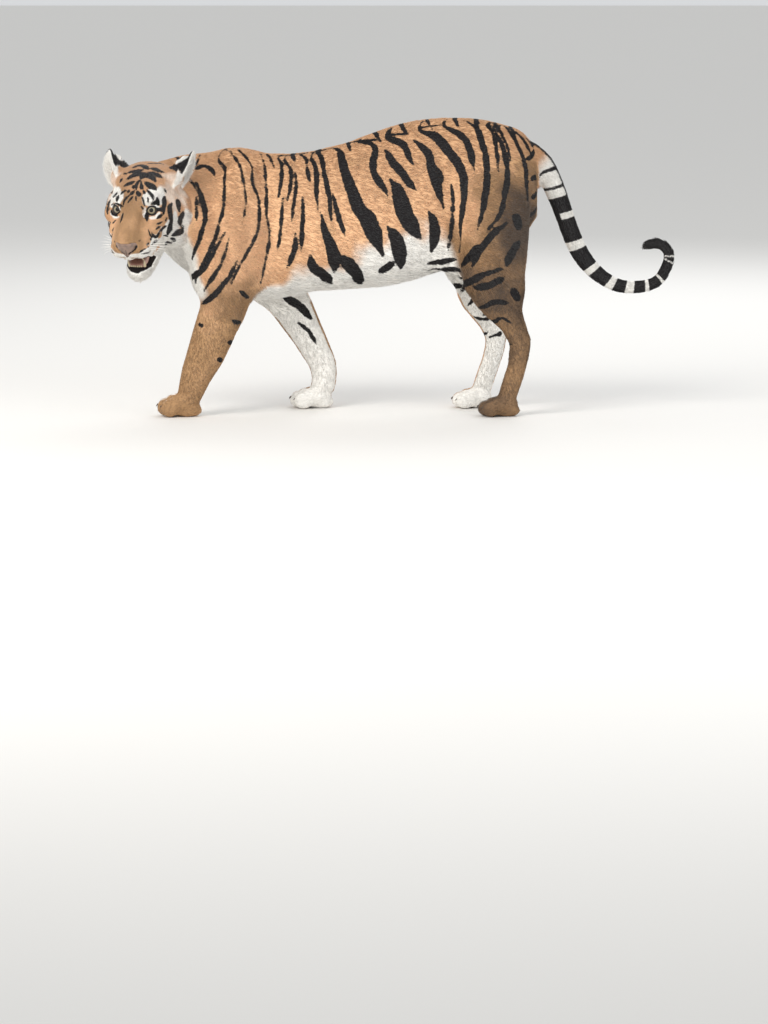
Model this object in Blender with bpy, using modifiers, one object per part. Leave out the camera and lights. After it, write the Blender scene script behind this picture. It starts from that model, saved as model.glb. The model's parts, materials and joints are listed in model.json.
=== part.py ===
"""A Bengal tigress in mid-stride with her head turned to her left, life size, as a still museum model.

She walks towards -X and her left side faces -Y. The floor is z = 0, and the origin lies on it under the
middle of the whole figure. Every size is in metres. The solids reach the tips of the coat.

Each part of the body is first laid out with lofts and ellipsoids, then cast: a voxel Remesh joins the forms,
Smooth rounds the places where they meet, and Decimate leaves broad facets. Thin cuts part the cast body into
its limbs and regions.
"""

import math

import bmesh
import bpy
from mathutils import Euler, Matrix, Vector

# Driving dimensions
FIGURE_MIDDLE = (0.002, -0.0695, 0)  # of its bounding box, measured from the spine's plane
LEG_OUT = 0.126  # from the middle of the body to the middle of a leg
GAP = 0.0004  # left between neighbouring solids

# How finely each sculpt is cast
BODY_VOXEL, HEAD_VOXEL, PAW_VOXEL = 0.009, 0.0045, 0.0045
BODY_TRIANGLES, HEAD_TRIANGLES, PAW_TRIANGLES = 1650, 960, 135

# The head's own frame: a runs from the eyes towards the nose, l to the animal's left, b towards the crown.
# It stands midway between the eyes.
EYE_MIDDLE = Vector((-0.8343, -0.240, 0.6935))
HEAD_YAW = math.radians(18)  # from facing -Y towards -X
HEAD_PITCH = math.radians(30)  # nose down
EYE_SPREAD = 0.0575
EYE_RADIUS = 0.0185
EYE_DEPTH = -0.002  # an eyeball's middle, in front of the head frame's origin
JAW_PIVOT = (-0.105, 0.0, -0.085)
JAW_OPEN = math.radians(13)

# Linear colours of the surfaces, by the first word of a part's name
ORANGE_COAT, PALE_COAT, BROWN_COAT = (0.50, 0.25, 0.11), (0.62, 0.52, 0.41), (0.36, 0.19, 0.09)
COLOURS = {
    "ear": (0.30, 0.27, 0.25), "eye": (0.45, 0.40, 0.22), "nose": (0.35, 0.17, 0.14), "tongue": (0.40, 0.13, 0.11),
    "lower": PALE_COAT, "forepaw": PALE_COAT, "hindpaw": PALE_COAT, "tail": PALE_COAT, "metatarsus": PALE_COAT,
    "thigh": BROWN_COAT, "shank": BROWN_COAT,
}
COAT_ROUGHNESS, WET_ROUGHNESS = 0.85, 0.25
SHARP_ANGLE = math.radians(50)


def clear_scene():
    for old in list(bpy.data.objects):
        bpy.data.objects.remove(old)


def collection(name):
    made = bpy.data.collections.new(name)
    bpy.context.scene.collection.children.link(made)
    return made


def give_material(obj):
    kind = obj.name.split("_")[0]
    made = bpy.data.materials.new(f"{obj.name} surface")
    made.use_nodes = True
    shader = made.node_tree.nodes["Principled BSDF"]
    colour = (*COLOURS.get(kind, ORANGE_COAT), 1)
    shader.inputs["Base Color"].default_value = made.diffuse_color = colour
    shader.inputs["Roughness"].default_value = WET_ROUGHNESS if kind in ("eye", "tongue") else COAT_ROUGHNESS
    shader.inputs["Metallic"].default_value = 0
    obj.data.materials.clear()
    obj.data.materials.append(made)


# ---------------------------------------------------------------- forms


def smooth_rows(rows, steps):
    """The rows resampled on a Catmull-Rom curve, with this many steps to each span."""
    ends = [rows[0], *rows, rows[-1]]
    made = []
    for a, b, c, d in zip(ends, ends[1:], ends[2:], ends[3:]):
        for step in range(steps):
            t = step / steps
            weights = (
                (-t + 2 * t * t - t**3) / 2,
                (2 - 5 * t * t + 3 * t**3) / 2,
                (t + 4 * t * t - 3 * t**3) / 2,
                (t**3 - t * t) / 2,
            )
            made.append([sum(w * v for w, v in zip(weights, column)) for column in zip(a, b, c, d)])
    return [*made, list(rows[-1])]


def signed_power(value, exponent):
    return math.copysign(abs(value) ** exponent, value)


def loft(bm, rows, up, sides=28, squareness=2.3, steps=4, frame=None):
    """A closed tube along the rows (x, y, z, half width, reach towards up, reach away from it)."""
    rows = smooth_rows(rows, steps) if steps > 1 else rows
    centres = [Vector(row[:3]) for row in rows]
    rings = []
    for i, row in enumerate(rows):
        along = (centres[min(i + 1, len(rows) - 1)] - centres[max(i - 1, 0)]).normalized()
        across = along.cross(Vector(up)).normalized()
        over = across.cross(along)
        ring = []
        for side in range(sides):
            angle = 2 * math.pi * side / sides
            wide = signed_power(math.cos(angle), 2 / squareness) * row[3]
            tall = signed_power(math.sin(angle), 2 / squareness) * (row[4] if angle < math.pi else row[5])
            point = centres[i] + across * wide + over * tall
            ring.append(bm.verts.new(frame @ point if frame else point))
        rings.append(ring)
    for ring, following in zip(rings, rings[1:]):
        for side in range(sides):
            after = (side + 1) % sides
            bm.faces.new((ring[side], ring[after], following[after], following[side]))
    bm.faces.new(rings[0][::-1])
    bm.faces.new(rings[-1])


def ellipsoid(bm, centre, radii, turn=(0, 0, 0), frame=None, detail=3):
    """An ellipsoid, turned by these degrees about x, y and z, in a frame of its own if one is given."""
    place = Matrix.Translation(centre) @ Euler([math.radians(a) for a in turn]).to_matrix().to_4x4()
    place = place @ Matrix.Diagonal((*radii, 1))
    bmesh.ops.create_icosphere(bm, subdivisions=detail, radius=1, matrix=(frame or Matrix()) @ place)


def pair(bm, centre, radii, turn=(0, 0, 0), frame=None):
    """An ellipsoid on each side of the middle plane, where the second coordinate changes sign."""
    for side in (-1, 1):
        there = (centre[0], side * centre[1], centre[2])
        ellipsoid(bm, there, radii, (side * turn[0], turn[1], side * turn[2]), frame)


def box(bm, low, high, frame=None):
    size = Vector(high) - Vector(low)
    place = Matrix.Translation((Vector(low) + Vector(high)) / 2) @ Matrix.Diagonal((*size, 1))
    bmesh.ops.create_cube(bm, size=1, matrix=(frame or Matrix()) @ place)


# ---------------------------------------------------------------- objects


def object_from(bm, name, home):
    bmesh.ops.recalc_face_normals(bm, faces=bm.faces)
    mesh = bpy.data.meshes.new(name)
    bm.to_mesh(mesh)
    bm.free()
    made = bpy.data.objects.new(name, mesh)
    home.objects.link(made)
    return made


def apply_modifiers(obj):
    """Replaces the object's mesh with the one that its modifiers make."""
    graph = bpy.context.evaluated_depsgraph_get()
    finished = bpy.data.meshes.new_from_object(obj.evaluated_get(graph))
    obj.modifiers.clear()
    obj.data = finished


def cast(bm, name, home, voxel, smoothing, triangles):
    """One closed skin round all the forms: voxel remesh, smoothing, then broad facets."""
    made = object_from(bm, name, home)
    remesh = made.modifiers.new("Join forms", "REMESH")
    remesh.mode = "VOXEL"
    remesh.voxel_size = voxel
    soften = made.modifiers.new("Round the joins", "SMOOTH")
    soften.factor = 0.5
    soften.iterations = smoothing
    apply_modifiers(made)
    facets = made.modifiers.new("Broad facets", "DECIMATE")
    facets.ratio = triangles / (2 * len(made.data.polygons))
    facets.use_collapse_triangulate = True
    apply_modifiers(made)
    return made


def boolean(target, cutter, operation):
    cut = target.modifiers.new(operation.title(), "BOOLEAN")
    cut.operation = operation
    cut.object = cutter
    apply_modifiers(target)


def copy_of(obj, name, home, grown=0.0):
    """A copy of the object, with its surface moved outwards by grown."""
    made = bpy.data.objects.new(name, obj.data.copy())
    home.objects.link(made)
    if grown:
        swell = made.modifiers.new("Clearance", "DISPLACE")
        swell.strength = grown
        swell.mid_level = 0
        apply_modifiers(made)
    return made


def clear_of(target, neighbour, helpers):
    """Cuts the target back from its neighbour, with the gap between them."""
    cutter = copy_of(neighbour, "clearance", helpers, GAP)
    boolean(target, cutter, "DIFFERENCE")
    bpy.data.objects.remove(cutter)


def part_off(whole, region, name, home, helpers):
    """Takes what lies in the region out of the whole as an object of its own, with a thin gap."""
    taken = copy_of(whole, name, home)
    boolean(taken, region, "INTERSECT")
    cutter = copy_of(region, "cutter", helpers, GAP)
    boolean(whole, cutter, "DIFFERENCE")
    bpy.data.objects.remove(cutter)
    bpy.data.objects.remove(region)
    return taken


def drop_crumbs(obj):
    """Keeps the object's largest piece, without the slivers that a cut can leave beside it."""
    bm = bmesh.new()
    bm.from_mesh(obj.data)
    unseen, pieces = set(bm.verts), []
    while unseen:
        piece, edge = set(), [unseen.pop()]
        while edge:
            vertex = edge.pop()
            piece.add(vertex)
            for link in vertex.link_edges:
                other = link.other_vert(vertex)
                if other in unseen:
                    unseen.remove(other)
                    edge.append(other)
        pieces.append(piece)
    pieces.sort(key=len)
    bmesh.ops.delete(bm, geom=[vertex for piece in pieces[:-1] for vertex in piece], context="VERTS")
    bm.to_mesh(obj.data)
    bm.free()


def region_box(helpers, start, towards, size):
    """A box that starts at a point and reaches towards a direction, level across the body."""
    reach, wide, deep = size
    x = Vector(towards).normalized()
    y = Vector((0, 1, 0))
    frame = Matrix((x, y, x.cross(y))).transposed().to_4x4()
    frame.translation = Vector(start)
    bm = bmesh.new()
    box(bm, (0, -wide, -deep), (reach, wide, deep), frame)
    return object_from(bm, "region", helpers)


def region_bowl(helpers, centre, radii):
    bm = bmesh.new()
    ellipsoid(bm, centre, radii, detail=2)
    return object_from(bm, "region", helpers)


def head_frame():
    """The matrix from the head's (a, l, b) to the model's (x, y, z)."""
    level = math.cos(HEAD_PITCH)
    forward = Vector((-math.sin(HEAD_YAW) * level, -math.cos(HEAD_YAW) * level, -math.sin(HEAD_PITCH)))
    left = Vector((math.cos(HEAD_YAW), -math.sin(HEAD_YAW), 0))
    frame = Matrix((forward, left, forward.cross(left))).transposed().to_4x4()
    frame.translation = EYE_MIDDLE
    return frame


# ---------------------------------------------------------------- trunk, neck and legs

# x, top, widest level, bottom, half width
TRUNK = (
    (-0.665, 0.760, 0.560, 0.460, 0.080),
    (-0.600, 0.858, 0.560, 0.385, 0.118),
    (-0.500, 0.884, 0.560, 0.368, 0.142),
    (-0.400, 0.868, 0.560, 0.376, 0.156),
    (-0.280, 0.868, 0.570, 0.400, 0.166),
    (-0.140, 0.894, 0.590, 0.410, 0.170),
    (-0.020, 0.930, 0.610, 0.420, 0.164),
    (0.080, 0.967, 0.660, 0.450, 0.150),
    (0.180, 0.992, 0.700, 0.495, 0.142),
    (0.290, 0.990, 0.730, 0.515, 0.146),
    (0.380, 0.965, 0.740, 0.540, 0.138),
    (0.445, 0.932, 0.740, 0.590, 0.112),
    (0.490, 0.880, 0.740, 0.650, 0.066),
)

# x, y, z, half width, reach up, reach down
NECK = (
    (-0.440, 0.000, 0.640, 0.140, 0.225, 0.250),
    (-0.540, 0.000, 0.650, 0.138, 0.236, 0.240),
    (-0.620, -0.008, 0.665, 0.130, 0.222, 0.205),
    (-0.690, -0.030, 0.690, 0.122, 0.188, 0.165),
    (-0.740, -0.065, 0.712, 0.110, 0.155, 0.135),
    (-0.775, -0.100, 0.730, 0.092, 0.118, 0.110),
    (-0.792, -0.125, 0.735, 0.070, 0.085, 0.085),
)

# Legs: x, z, share of LEG_OUT, half width, reach forwards, reach backwards
FORELEG = {
    "left": (
        (-0.545, 0.660, 0.78, 0.070, 0.100, 0.095),
        (-0.562, 0.550, 0.94, 0.074, 0.108, 0.102),
        (-0.556, 0.455, 1.02, 0.073, 0.098, 0.096),
        (-0.548, 0.375, 1.04, 0.068, 0.080, 0.084),
        (-0.578, 0.285, 1.03, 0.060, 0.073, 0.070),
        (-0.608, 0.205, 1.01, 0.055, 0.067, 0.062),
        (-0.636, 0.145, 0.99, 0.052, 0.056, 0.053),
        (-0.654, 0.095, 0.97, 0.050, 0.047, 0.045),
        (-0.668, 0.050, 0.95, 0.050, 0.044, 0.038),
    ),
    "right": (
        (-0.530, 0.660, 0.78, 0.070, 0.098, 0.095),
        (-0.500, 0.545, 0.94, 0.074, 0.104, 0.100),
        (-0.435, 0.455, 1.00, 0.072, 0.094, 0.096),
        (-0.362, 0.385, 1.01, 0.066, 0.077, 0.082),
        (-0.302, 0.290, 1.00, 0.056, 0.062, 0.064),
        (-0.256, 0.205, 0.98, 0.050, 0.051, 0.053),
        (-0.226, 0.145, 0.97, 0.047, 0.047, 0.047),
        (-0.222, 0.095, 0.95, 0.046, 0.043, 0.043),
        (-0.232, 0.050, 0.94, 0.048, 0.042, 0.040),
    ),
}
THIGH = {
    "left": (
        (0.350, 0.830, 0.66, 0.060, 0.122, 0.112),
        (0.348, 0.700, 0.86, 0.078, 0.128, 0.117),
        (0.340, 0.580, 0.98, 0.079, 0.117, 0.118),
        (0.330, 0.480, 1.02, 0.071, 0.104, 0.116),
        (0.315, 0.410, 1.02, 0.058, 0.074, 0.095),
    ),
    "right": (
        (0.345, 0.830, 0.66, 0.060, 0.122, 0.112),
        (0.332, 0.700, 0.86, 0.078, 0.125, 0.117),
        (0.310, 0.580, 0.98, 0.079, 0.140, 0.112),
        (0.287, 0.480, 1.02, 0.071, 0.128, 0.104),
        (0.272, 0.410, 1.02, 0.058, 0.080, 0.085),
    ),
}
SHANK = {
    "left": (
        (0.300, 0.455, 1.01, 0.056, 0.066, 0.105),
        (0.352, 0.385, 1.00, 0.054, 0.066, 0.080),
        (0.388, 0.330, 0.98, 0.046, 0.048, 0.056),
        (0.414, 0.285, 0.96, 0.039, 0.038, 0.042),
        (0.430, 0.238, 0.95, 0.036, 0.036, 0.038),
        (0.424, 0.180, 0.94, 0.034, 0.034, 0.034),
        (0.407, 0.118, 0.94, 0.035, 0.035, 0.033),
        (0.388, 0.055, 0.94, 0.038, 0.036, 0.034),
    ),
    "right": (
        (0.262, 0.450, 1.01, 0.055, 0.062, 0.090),
        (0.285, 0.375, 1.00, 0.052, 0.054, 0.068),
        (0.316, 0.320, 0.98, 0.045, 0.044, 0.052),
        (0.342, 0.278, 0.96, 0.039, 0.038, 0.042),
        (0.356, 0.232, 0.95, 0.036, 0.036, 0.038),
        (0.346, 0.175, 0.94, 0.034, 0.034, 0.034),
        (0.326, 0.115, 0.94, 0.035, 0.035, 0.033),
        (0.306, 0.055, 0.94, 0.038, 0.036, 0.034),
    ),
}
SIDE = {"left": -1, "right": 1}  # where each side lies on y
HEAD_SIDE = {"left": 1, "right": -1}  # where each side lies in the head's frame
PAWS = {
    # x of the middle, y share of LEG_OUT, half length, half width, height, toes turned out in degrees
    "forepaw_left": (-0.696, 0.95, 0.078, 0.064, 0.078, 4),
    "forepaw_right": (-0.262, 0.94, 0.076, 0.062, 0.074, 3),
    "hindpaw_left": (0.362, 0.94, 0.074, 0.055, 0.070, 3),
    "hindpaw_right": (0.280, 0.94, 0.074, 0.055, 0.070, 3),
}


def leg_rows(rows, side):
    """Leg rows as loft rows, on the left or the right of the body."""
    return [
        (x, SIDE[side] * out * LEG_OUT, z, wide, front, back)
        for x, z, out, wide, front, back in rows
    ]


def body_forms():
    bm = bmesh.new()
    trunk = [(x, 0, middle, wide, top - middle, middle - low) for x, top, middle, low, wide in TRUNK]
    loft(bm, trunk, (0, 0, 1), sides=36, squareness=2.25)
    loft(bm, NECK, (0, 0, 1), sides=32, squareness=2.1)
    for side in SIDE:
        for rows in (FORELEG[side], THIGH[side], SHANK[side]):
            loft(bm, leg_rows(rows, side), (-1, 0, 0))
    # Shoulder blades, which stand up beside the spine, and the muscle that covers them
    pair(bm, (-0.500, 0.052, 0.810), (0.085, 0.034, 0.080), (-14, 12, 0))
    pair(bm, (-0.515, 0.092, 0.690), (0.090, 0.056, 0.165), (-8, 14, 0))
    # Triceps behind each upper arm
    ellipsoid(bm, (-0.475, -0.120, 0.480), (0.085, 0.052, 0.110), (0, 20, 0))
    ellipsoid(bm, (-0.395, 0.118, 0.480), (0.085, 0.052, 0.110), (0, -25, 0))
    # Brisket, haunches, the tops of the pelvis and the loose skin of each flank
    ellipsoid(bm, (-0.600, 0, 0.480), (0.072, 0.095, 0.115))
    pair(bm, (0.352, 0.076, 0.765), (0.134, 0.078, 0.165), (-6, 0, 0))
    pair(bm, (0.235, 0.055, 0.915), (0.085, 0.040, 0.055))
    pair(bm, (0.195, 0.078, 0.540), (0.125, 0.044, 0.075), (0, 24, 0))
    # Calves, and the point of each hock
    ellipsoid(bm, (0.385, -0.122, 0.435), (0.068, 0.046, 0.125))
    ellipsoid(bm, (0.322, 0.122, 0.425), (0.062, 0.045, 0.115), (0, -12, 0))
    ellipsoid(bm, (0.446, -0.120, 0.255), (0.024, 0.024, 0.040))
    ellipsoid(bm, (0.374, 0.120, 0.248), (0.024, 0.024, 0.040))
    return bm


def paw(name, home):
    """Four toes, the back of the foot and the heel pad, standing on flats."""
    middle, out, half_length, half_width, height, turned = PAWS[name]
    side = SIDE[name.split("_")[1]]
    frame = Matrix.Translation((middle, side * out * LEG_OUT, 0))
    frame = frame @ Matrix.Rotation(math.radians(180 + side * turned), 4, "Z")
    bm = bmesh.new()
    ellipsoid(bm, (-0.22 * half_length, 0, 0.58 * height), (0.62 * half_length, 0.78 * half_width, 0.46 * height),
              (0, 12, 0), frame)
    ellipsoid(bm, (-0.30 * half_length, 0, 0.26 * height), (0.68 * half_length, 0.70 * half_width, 0.36 * height),
              (0, 0, 0), frame)
    for toe in (-1.5, -0.5, 0.5, 1.5):
        inner = abs(toe) < 1
        ahead = (0.56 if inner else 0.36) * half_length
        across = toe * 0.50 * half_width
        ellipsoid(bm, (ahead, across, 0.36 * height), (0.44 * half_length, 0.29 * half_width, 0.40 * height),
                  (0, 6, 7 * toe), frame)
        ellipsoid(bm, (ahead - 0.30 * half_length, 0.92 * across, 0.55 * height),
                  (0.42 * half_length, 0.25 * half_width, 0.34 * height), (0, 22, 5 * toe), frame)
    made = cast(bm, name, home, PAW_VOXEL, 5, PAW_TRIANGLES)
    below = bmesh.new()
    box(below, (-1, -1, -1), (1, 1, 0))
    floor = object_from(below, "floor", home)
    boolean(made, floor, "DIFFERENCE")
    bpy.data.objects.remove(floor)
    return made


# ---------------------------------------------------------------- head

# Upper head in the head's frame: a, l, b, half width, reach up, reach down
SKULL = (
    (-0.215, 0, 0.000, 0.055, 0.045, 0.070),
    (-0.190, 0, 0.000, 0.082, 0.066, 0.095),
    (-0.145, 0, 0.000, 0.100, 0.082, 0.110),
    (-0.100, 0, 0.000, 0.102, 0.087, 0.110),
    (-0.055, 0, 0.000, 0.094, 0.077, 0.110),
    (-0.015, 0, -0.002, 0.076, 0.055, 0.110),
    (0.020, 0, -0.008, 0.056, 0.038, 0.100),
)
NOSE_BRIDGE = (
    (-0.035, 0, 0.005, 0.0380, 0.052, 0.060),
    (0.005, 0, -0.002, 0.0345, 0.043, 0.060),
    (0.050, 0, -0.018, 0.0350, 0.037, 0.050),
    (0.090, 0, -0.034, 0.0360, 0.031, 0.040),
    (0.120, 0, -0.048, 0.0330, 0.025, 0.030),
    (0.138, 0, -0.055, 0.0260, 0.018, 0.024),
)
MUZZLE = (
    (-0.030, 0, -0.068, 0.088, 0.052, 0.060),
    (0.020, 0, -0.070, 0.080, 0.056, 0.053),
    (0.060, 0, -0.071, 0.072, 0.054, 0.048),
    (0.096, 0, -0.074, 0.063, 0.044, 0.044),
    (0.120, 0, -0.075, 0.048, 0.038, 0.038),
    (0.134, 0, -0.075, 0.028, 0.028, 0.028),
)
# Lower jaw with the mouth closed
LOWER_JAW = (
    (-0.130, 0, -0.130, 0.078, 0.050, 0.045),
    (-0.080, 0, -0.136, 0.075, 0.045, 0.045),
    (-0.030, 0, -0.141, 0.066, 0.034, 0.040),
    (0.020, 0, -0.146, 0.058, 0.028, 0.036),
    (0.060, 0, -0.148, 0.052, 0.030, 0.033),
    (0.090, 0, -0.150, 0.046, 0.031, 0.032),
    (0.112, 0, -0.150, 0.032, 0.026, 0.028),
    (0.122, 0, -0.148, 0.016, 0.014, 0.016),
)


def jaw_frame(frame):
    """The head's frame with the jaw swung open about its pivot."""
    pivot = Matrix.Translation(JAW_PIVOT)
    return frame @ pivot @ Matrix.Rotation(JAW_OPEN, 4, "Y") @ pivot.inverted()


def head_forms(frame):
    bm = bmesh.new()
    loft(bm, SKULL, (0, 0, 1), frame=frame, squareness=2.6)
    loft(bm, NOSE_BRIDGE, (0, 0, 1), frame=frame, squareness=2.5)
    loft(bm, MUZZLE, (0, 0, 1), frame=frame, squareness=2.3)
    loft(bm, LOWER_JAW, (0, 0, 1), frame=jaw_frame(frame), squareness=2.4)
    # Cheekbones, jaw muscles, and the fullness under each eye
    pair(bm, (-0.050, 0.080, -0.028), (0.066, 0.036, 0.046), (0, 0, 16), frame)
    pair(bm, (-0.070, 0.084, -0.080), (0.072, 0.042, 0.066), (0, 0, 10), frame)
    pair(bm, (0.008, 0.058, -0.062), (0.056, 0.030, 0.042), (0, 0, 20), frame)
    pair(bm, (-0.088, 0.094, -0.055), (0.062, 0.038, 0.072), (0, 0, 14), frame)
    # The ruff of long hair behind and under the cheeks
    pair(bm, (-0.122, 0.104, -0.088), (0.056, 0.040, 0.084), (-8, 0, 16), frame)
    pair(bm, (-0.090, 0.088, -0.146), (0.060, 0.038, 0.052), (16, 0, 10), frame)
    ellipsoid(bm, (-0.080, 0, -0.150), (0.080, 0.070, 0.045), (0, 0, 0), frame)
    # The roots of the ears
    pair(bm, (-0.142, 0.084, 0.030), (0.042, 0.042, 0.042), (0, 0, 0), frame)
    # Brows, and the rise of the forehead between them
    pair(bm, (-0.022, 0.054, 0.032), (0.034, 0.032, 0.020), (0, 0, 30), frame)
    ellipsoid(bm, (-0.060, 0, 0.050), (0.062, 0.062, 0.034), (0, 20, 0), frame)
    # Whisker pads, upper lips, chin
    pair(bm, (0.084, 0.034, -0.087), (0.046, 0.035, 0.040), (0, 0, 8), frame)
    pair(bm, (0.046, 0.050, -0.100), (0.050, 0.022, 0.032), (0, 4, 14), frame)
    ellipsoid(bm, (0.122, 0, -0.090), (0.014, 0.022, 0.022), (0, 0, 0), frame)
    ellipsoid(bm, (0.094, 0, -0.152), (0.032, 0.043, 0.028), (0, 0, 0), jaw_frame(frame))
    return bm


def nose_region(frame, home):
    """The bare leather at the end of the muzzle."""
    bm = bmesh.new()
    ellipsoid(bm, (0.142, 0, -0.052), (0.024, 0.034, 0.025), (0, 20, 0), frame, detail=2)
    return object_from(bm, "nose region", home)


def mouth_cutter(frame, home):
    """The open wedge between the lips, from the front back to the corners of the mouth."""
    bm = bmesh.new()
    rows = (
        (0.000, 0, -0.130, 0.044, 0.003, 0.003),
        (0.030, 0, -0.135, 0.054, 0.008, 0.008),
        (0.070, 0, -0.143, 0.048, 0.014, 0.014),
        (0.100, 0, -0.147, 0.048, 0.018, 0.019),
        (0.160, 0, -0.152, 0.075, 0.026, 0.030),
    )
    loft(bm, rows, (0, 0, 1), frame=frame, squareness=3.0)
    return object_from(bm, "mouth opening", home)


def jaw_region(frame, home):
    """Everything under the line that runs from the lips to the angle of the jaw."""
    bm = bmesh.new()
    rows = (
        (-0.060, 0, -0.200, 0.060, 0.040, 0.050),
        (-0.010, 0, -0.200, 0.090, 0.075, 0.050),
        (0.020, 0, -0.200, 0.090, 0.090, 0.050),
        (0.060, 0, -0.200, 0.090, 0.100, 0.050),
        (0.160, 0, -0.200, 0.090, 0.110, 0.050),
    )
    loft(bm, rows, (0, 0, 1), frame=jaw_frame(frame), squareness=6.0, steps=1)
    return object_from(bm, "jaw region", home)


EARS = {
    # base and tip in the head's frame, then where the cup opens: degrees forwards from straight out
    "left": ((-0.146, 0.090, 0.030), (-0.206, 0.164, 0.090), -6),
    "right": ((-0.146, -0.090, 0.030), (-0.196, -0.148, 0.100), 66),
}


def ear(name, frame, home):
    """A cupped leaf with a rounded tip on the corner of the skull."""
    base, tip, forwards = EARS[name]
    side = HEAD_SIDE[name]
    base, tip = Vector(base), Vector(tip)
    height, half_width, thickness = (tip - base).length, 0.055, 0.009
    bm = bmesh.new()
    bmesh.ops.create_grid(bm, x_segments=6, y_segments=6, size=1)
    for vertex in bm.verts:
        across, up = vertex.co.x, (vertex.co.y + 1) / 2
        narrowing = max(0.0, up - 0.25) ** 2 / 0.62
        curl_radius = 0.029 + 0.011 * up
        angle = across * half_width * math.sqrt(max(0.03, 1 - narrowing)) / curl_radius
        cup = curl_radius * (1 - math.cos(angle))
        vertex.co = (cup - 0.010 * up * up, curl_radius * math.sin(angle), height * (1.15 * up - 0.15))
    # The leaf's own axes: z to the tip, x towards the opening
    z = (tip - base).normalized()
    opening = Vector((math.sin(math.radians(forwards)), side * math.cos(math.radians(forwards)), 0))
    y = z.cross(opening).normalized()
    axes = Matrix((y.cross(z), y, z)).transposed().to_4x4()
    axes.translation = base
    bm.transform(frame @ axes)
    made = object_from(bm, f"ear_{name}", home)
    wall = made.modifiers.new("Wall", "SOLIDIFY")
    wall.thickness = thickness
    wall.offset = 0
    round_off = made.modifiers.new("Round off", "SUBSURF")
    round_off.levels = round_off.render_levels = 1
    facets = made.modifiers.new("Broad facets", "DECIMATE")
    facets.ratio = 0.3
    apply_modifiers(made)
    return made


def eyeball(name, frame, home):
    bm = bmesh.new()
    place = frame @ Matrix.Translation((EYE_DEPTH, HEAD_SIDE[name] * EYE_SPREAD, 0))
    bmesh.ops.create_uvsphere(bm, u_segments=12, v_segments=8, radius=EYE_RADIUS, matrix=place)
    return object_from(bm, f"eye_{name}", home)


def eye_opening(name, frame, home):
    """The almond between the lids, as a cutter that runs forwards from the eyeball."""
    side = HEAD_SIDE[name]
    bm = bmesh.new()
    place = frame @ Matrix.Translation((EYE_DEPTH + 0.022, side * (EYE_SPREAD + 0.002), 0))
    ellipsoid(bm, (0, 0, 0), (0.034, 0.0185, 0.0135), (side * -12, 0, side * 18), place, detail=2)
    return object_from(bm, "eye opening", home)


def tongue(frame, home):
    """A low pad that fills the floor of the mouth and curls up a little at its edges."""
    bm = bmesh.new()
    rows = (
        (0.010, 0, -0.120, 0.020, 0.004, 0.010),
        (0.040, 0, -0.116, 0.027, 0.005, 0.010),
        (0.072, 0, -0.117, 0.027, 0.005, 0.010),
        (0.092, 0, -0.120, 0.018, 0.004, 0.008),
    )
    loft(bm, rows, (0, 0, 1), sides=12, squareness=2, steps=2, frame=jaw_frame(frame))
    return object_from(bm, "tongue", home)


# ---------------------------------------------------------------- tail

# Distance along the tail and its heading, in degrees above +X
TAIL_HEADINGS = (
    (0.00, -36), (0.05, -36), (0.10, -45), (0.15, -58), (0.21, -67), (0.27, -71), (0.34, -70), (0.41, -65),
    (0.49, -48), (0.57, -30), (0.64, -3), (0.71, 14), (0.77, 62), (0.82, 72), (0.87, 136), (0.92, 197),
    (0.96, 200),
)
TAIL_ROOT = Vector((0.4115, 0, 0.8954))
TAIL_LENGTH = 0.96
TAIL_SWAY = 0.04  # how far it strays to the side, per unit of length
TAIL_RINGS = 34
TAIL_BOX = (0.300, 0.100, 0.100)
# Distance along the tail and half its thickness
TAIL_GIRTH = (
    (0.00, 0.038), (0.05, 0.046), (0.11, 0.047), (0.18, 0.038), (0.25, 0.0335), (0.32, 0.0316), (0.40, 0.0316),
    (0.47, 0.0298), (0.55, 0.0258), (0.62, 0.0236), (0.75, 0.0207), (0.93, 0.0194), (0.96, 0.009),
)
TAIL_CUTS = (0.18, 0.34, 0.50, 0.65, 0.80)


def blend_at(pairs, at):
    """The value of this list of (place, value) at a place, on a straight line between its neighbours."""
    for (start, low), (end, high) in zip(pairs, pairs[1:]):
        if at <= end:
            return low + (high - low) * (at - start) / (end - start)
    return pairs[-1][1]


def walk_tail(stops, stride=0.004):
    """The tail's middle line and its direction at these distances, walked from the root by its headings."""
    place, at, made = TAIL_ROOT.copy(), 0.0, []
    for stop in stops:
        while True:
            heading = math.radians(blend_at(TAIL_HEADINGS, at))
            sway = TAIL_SWAY * math.sin(2 * math.pi * at / TAIL_LENGTH)
            direction = Vector((math.cos(heading), sway, math.sin(heading)))
            ahead = min(stride, stop - at)
            if ahead <= 0:
                break
            place = place + direction * ahead
            at += ahead
        made.append((place.copy(), direction))
    return made


def whole_tail(home):
    stops = [TAIL_LENGTH * i / TAIL_RINGS for i in range(TAIL_RINGS + 1)]
    rows = []
    for stop, (place, _) in zip(stops, walk_tail(stops)):
        girth = blend_at(TAIL_GIRTH, stop)
        rows.append((*place, girth, girth, girth))
    bm = bmesh.new()
    loft(bm, rows, (0, 1, 0), sides=12, squareness=2, steps=1)
    return object_from(bm, "tail_1", home)


# ---------------------------------------------------------------- the whole figure


# Where the limbs part from the body: x and z of each joint, and how far the limb below it leans in x
ELBOW = {"left": (-0.565, 0.335, -0.35), "right": (-0.325, 0.335, 0.45)}
KNEE = {"left": (0.330, 0.415, 0.35), "right": (0.278, 0.405, 0.35)}
HOCK = {"left": (0.430, 0.262, -0.10), "right": (0.353, 0.256, -0.10)}
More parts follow.
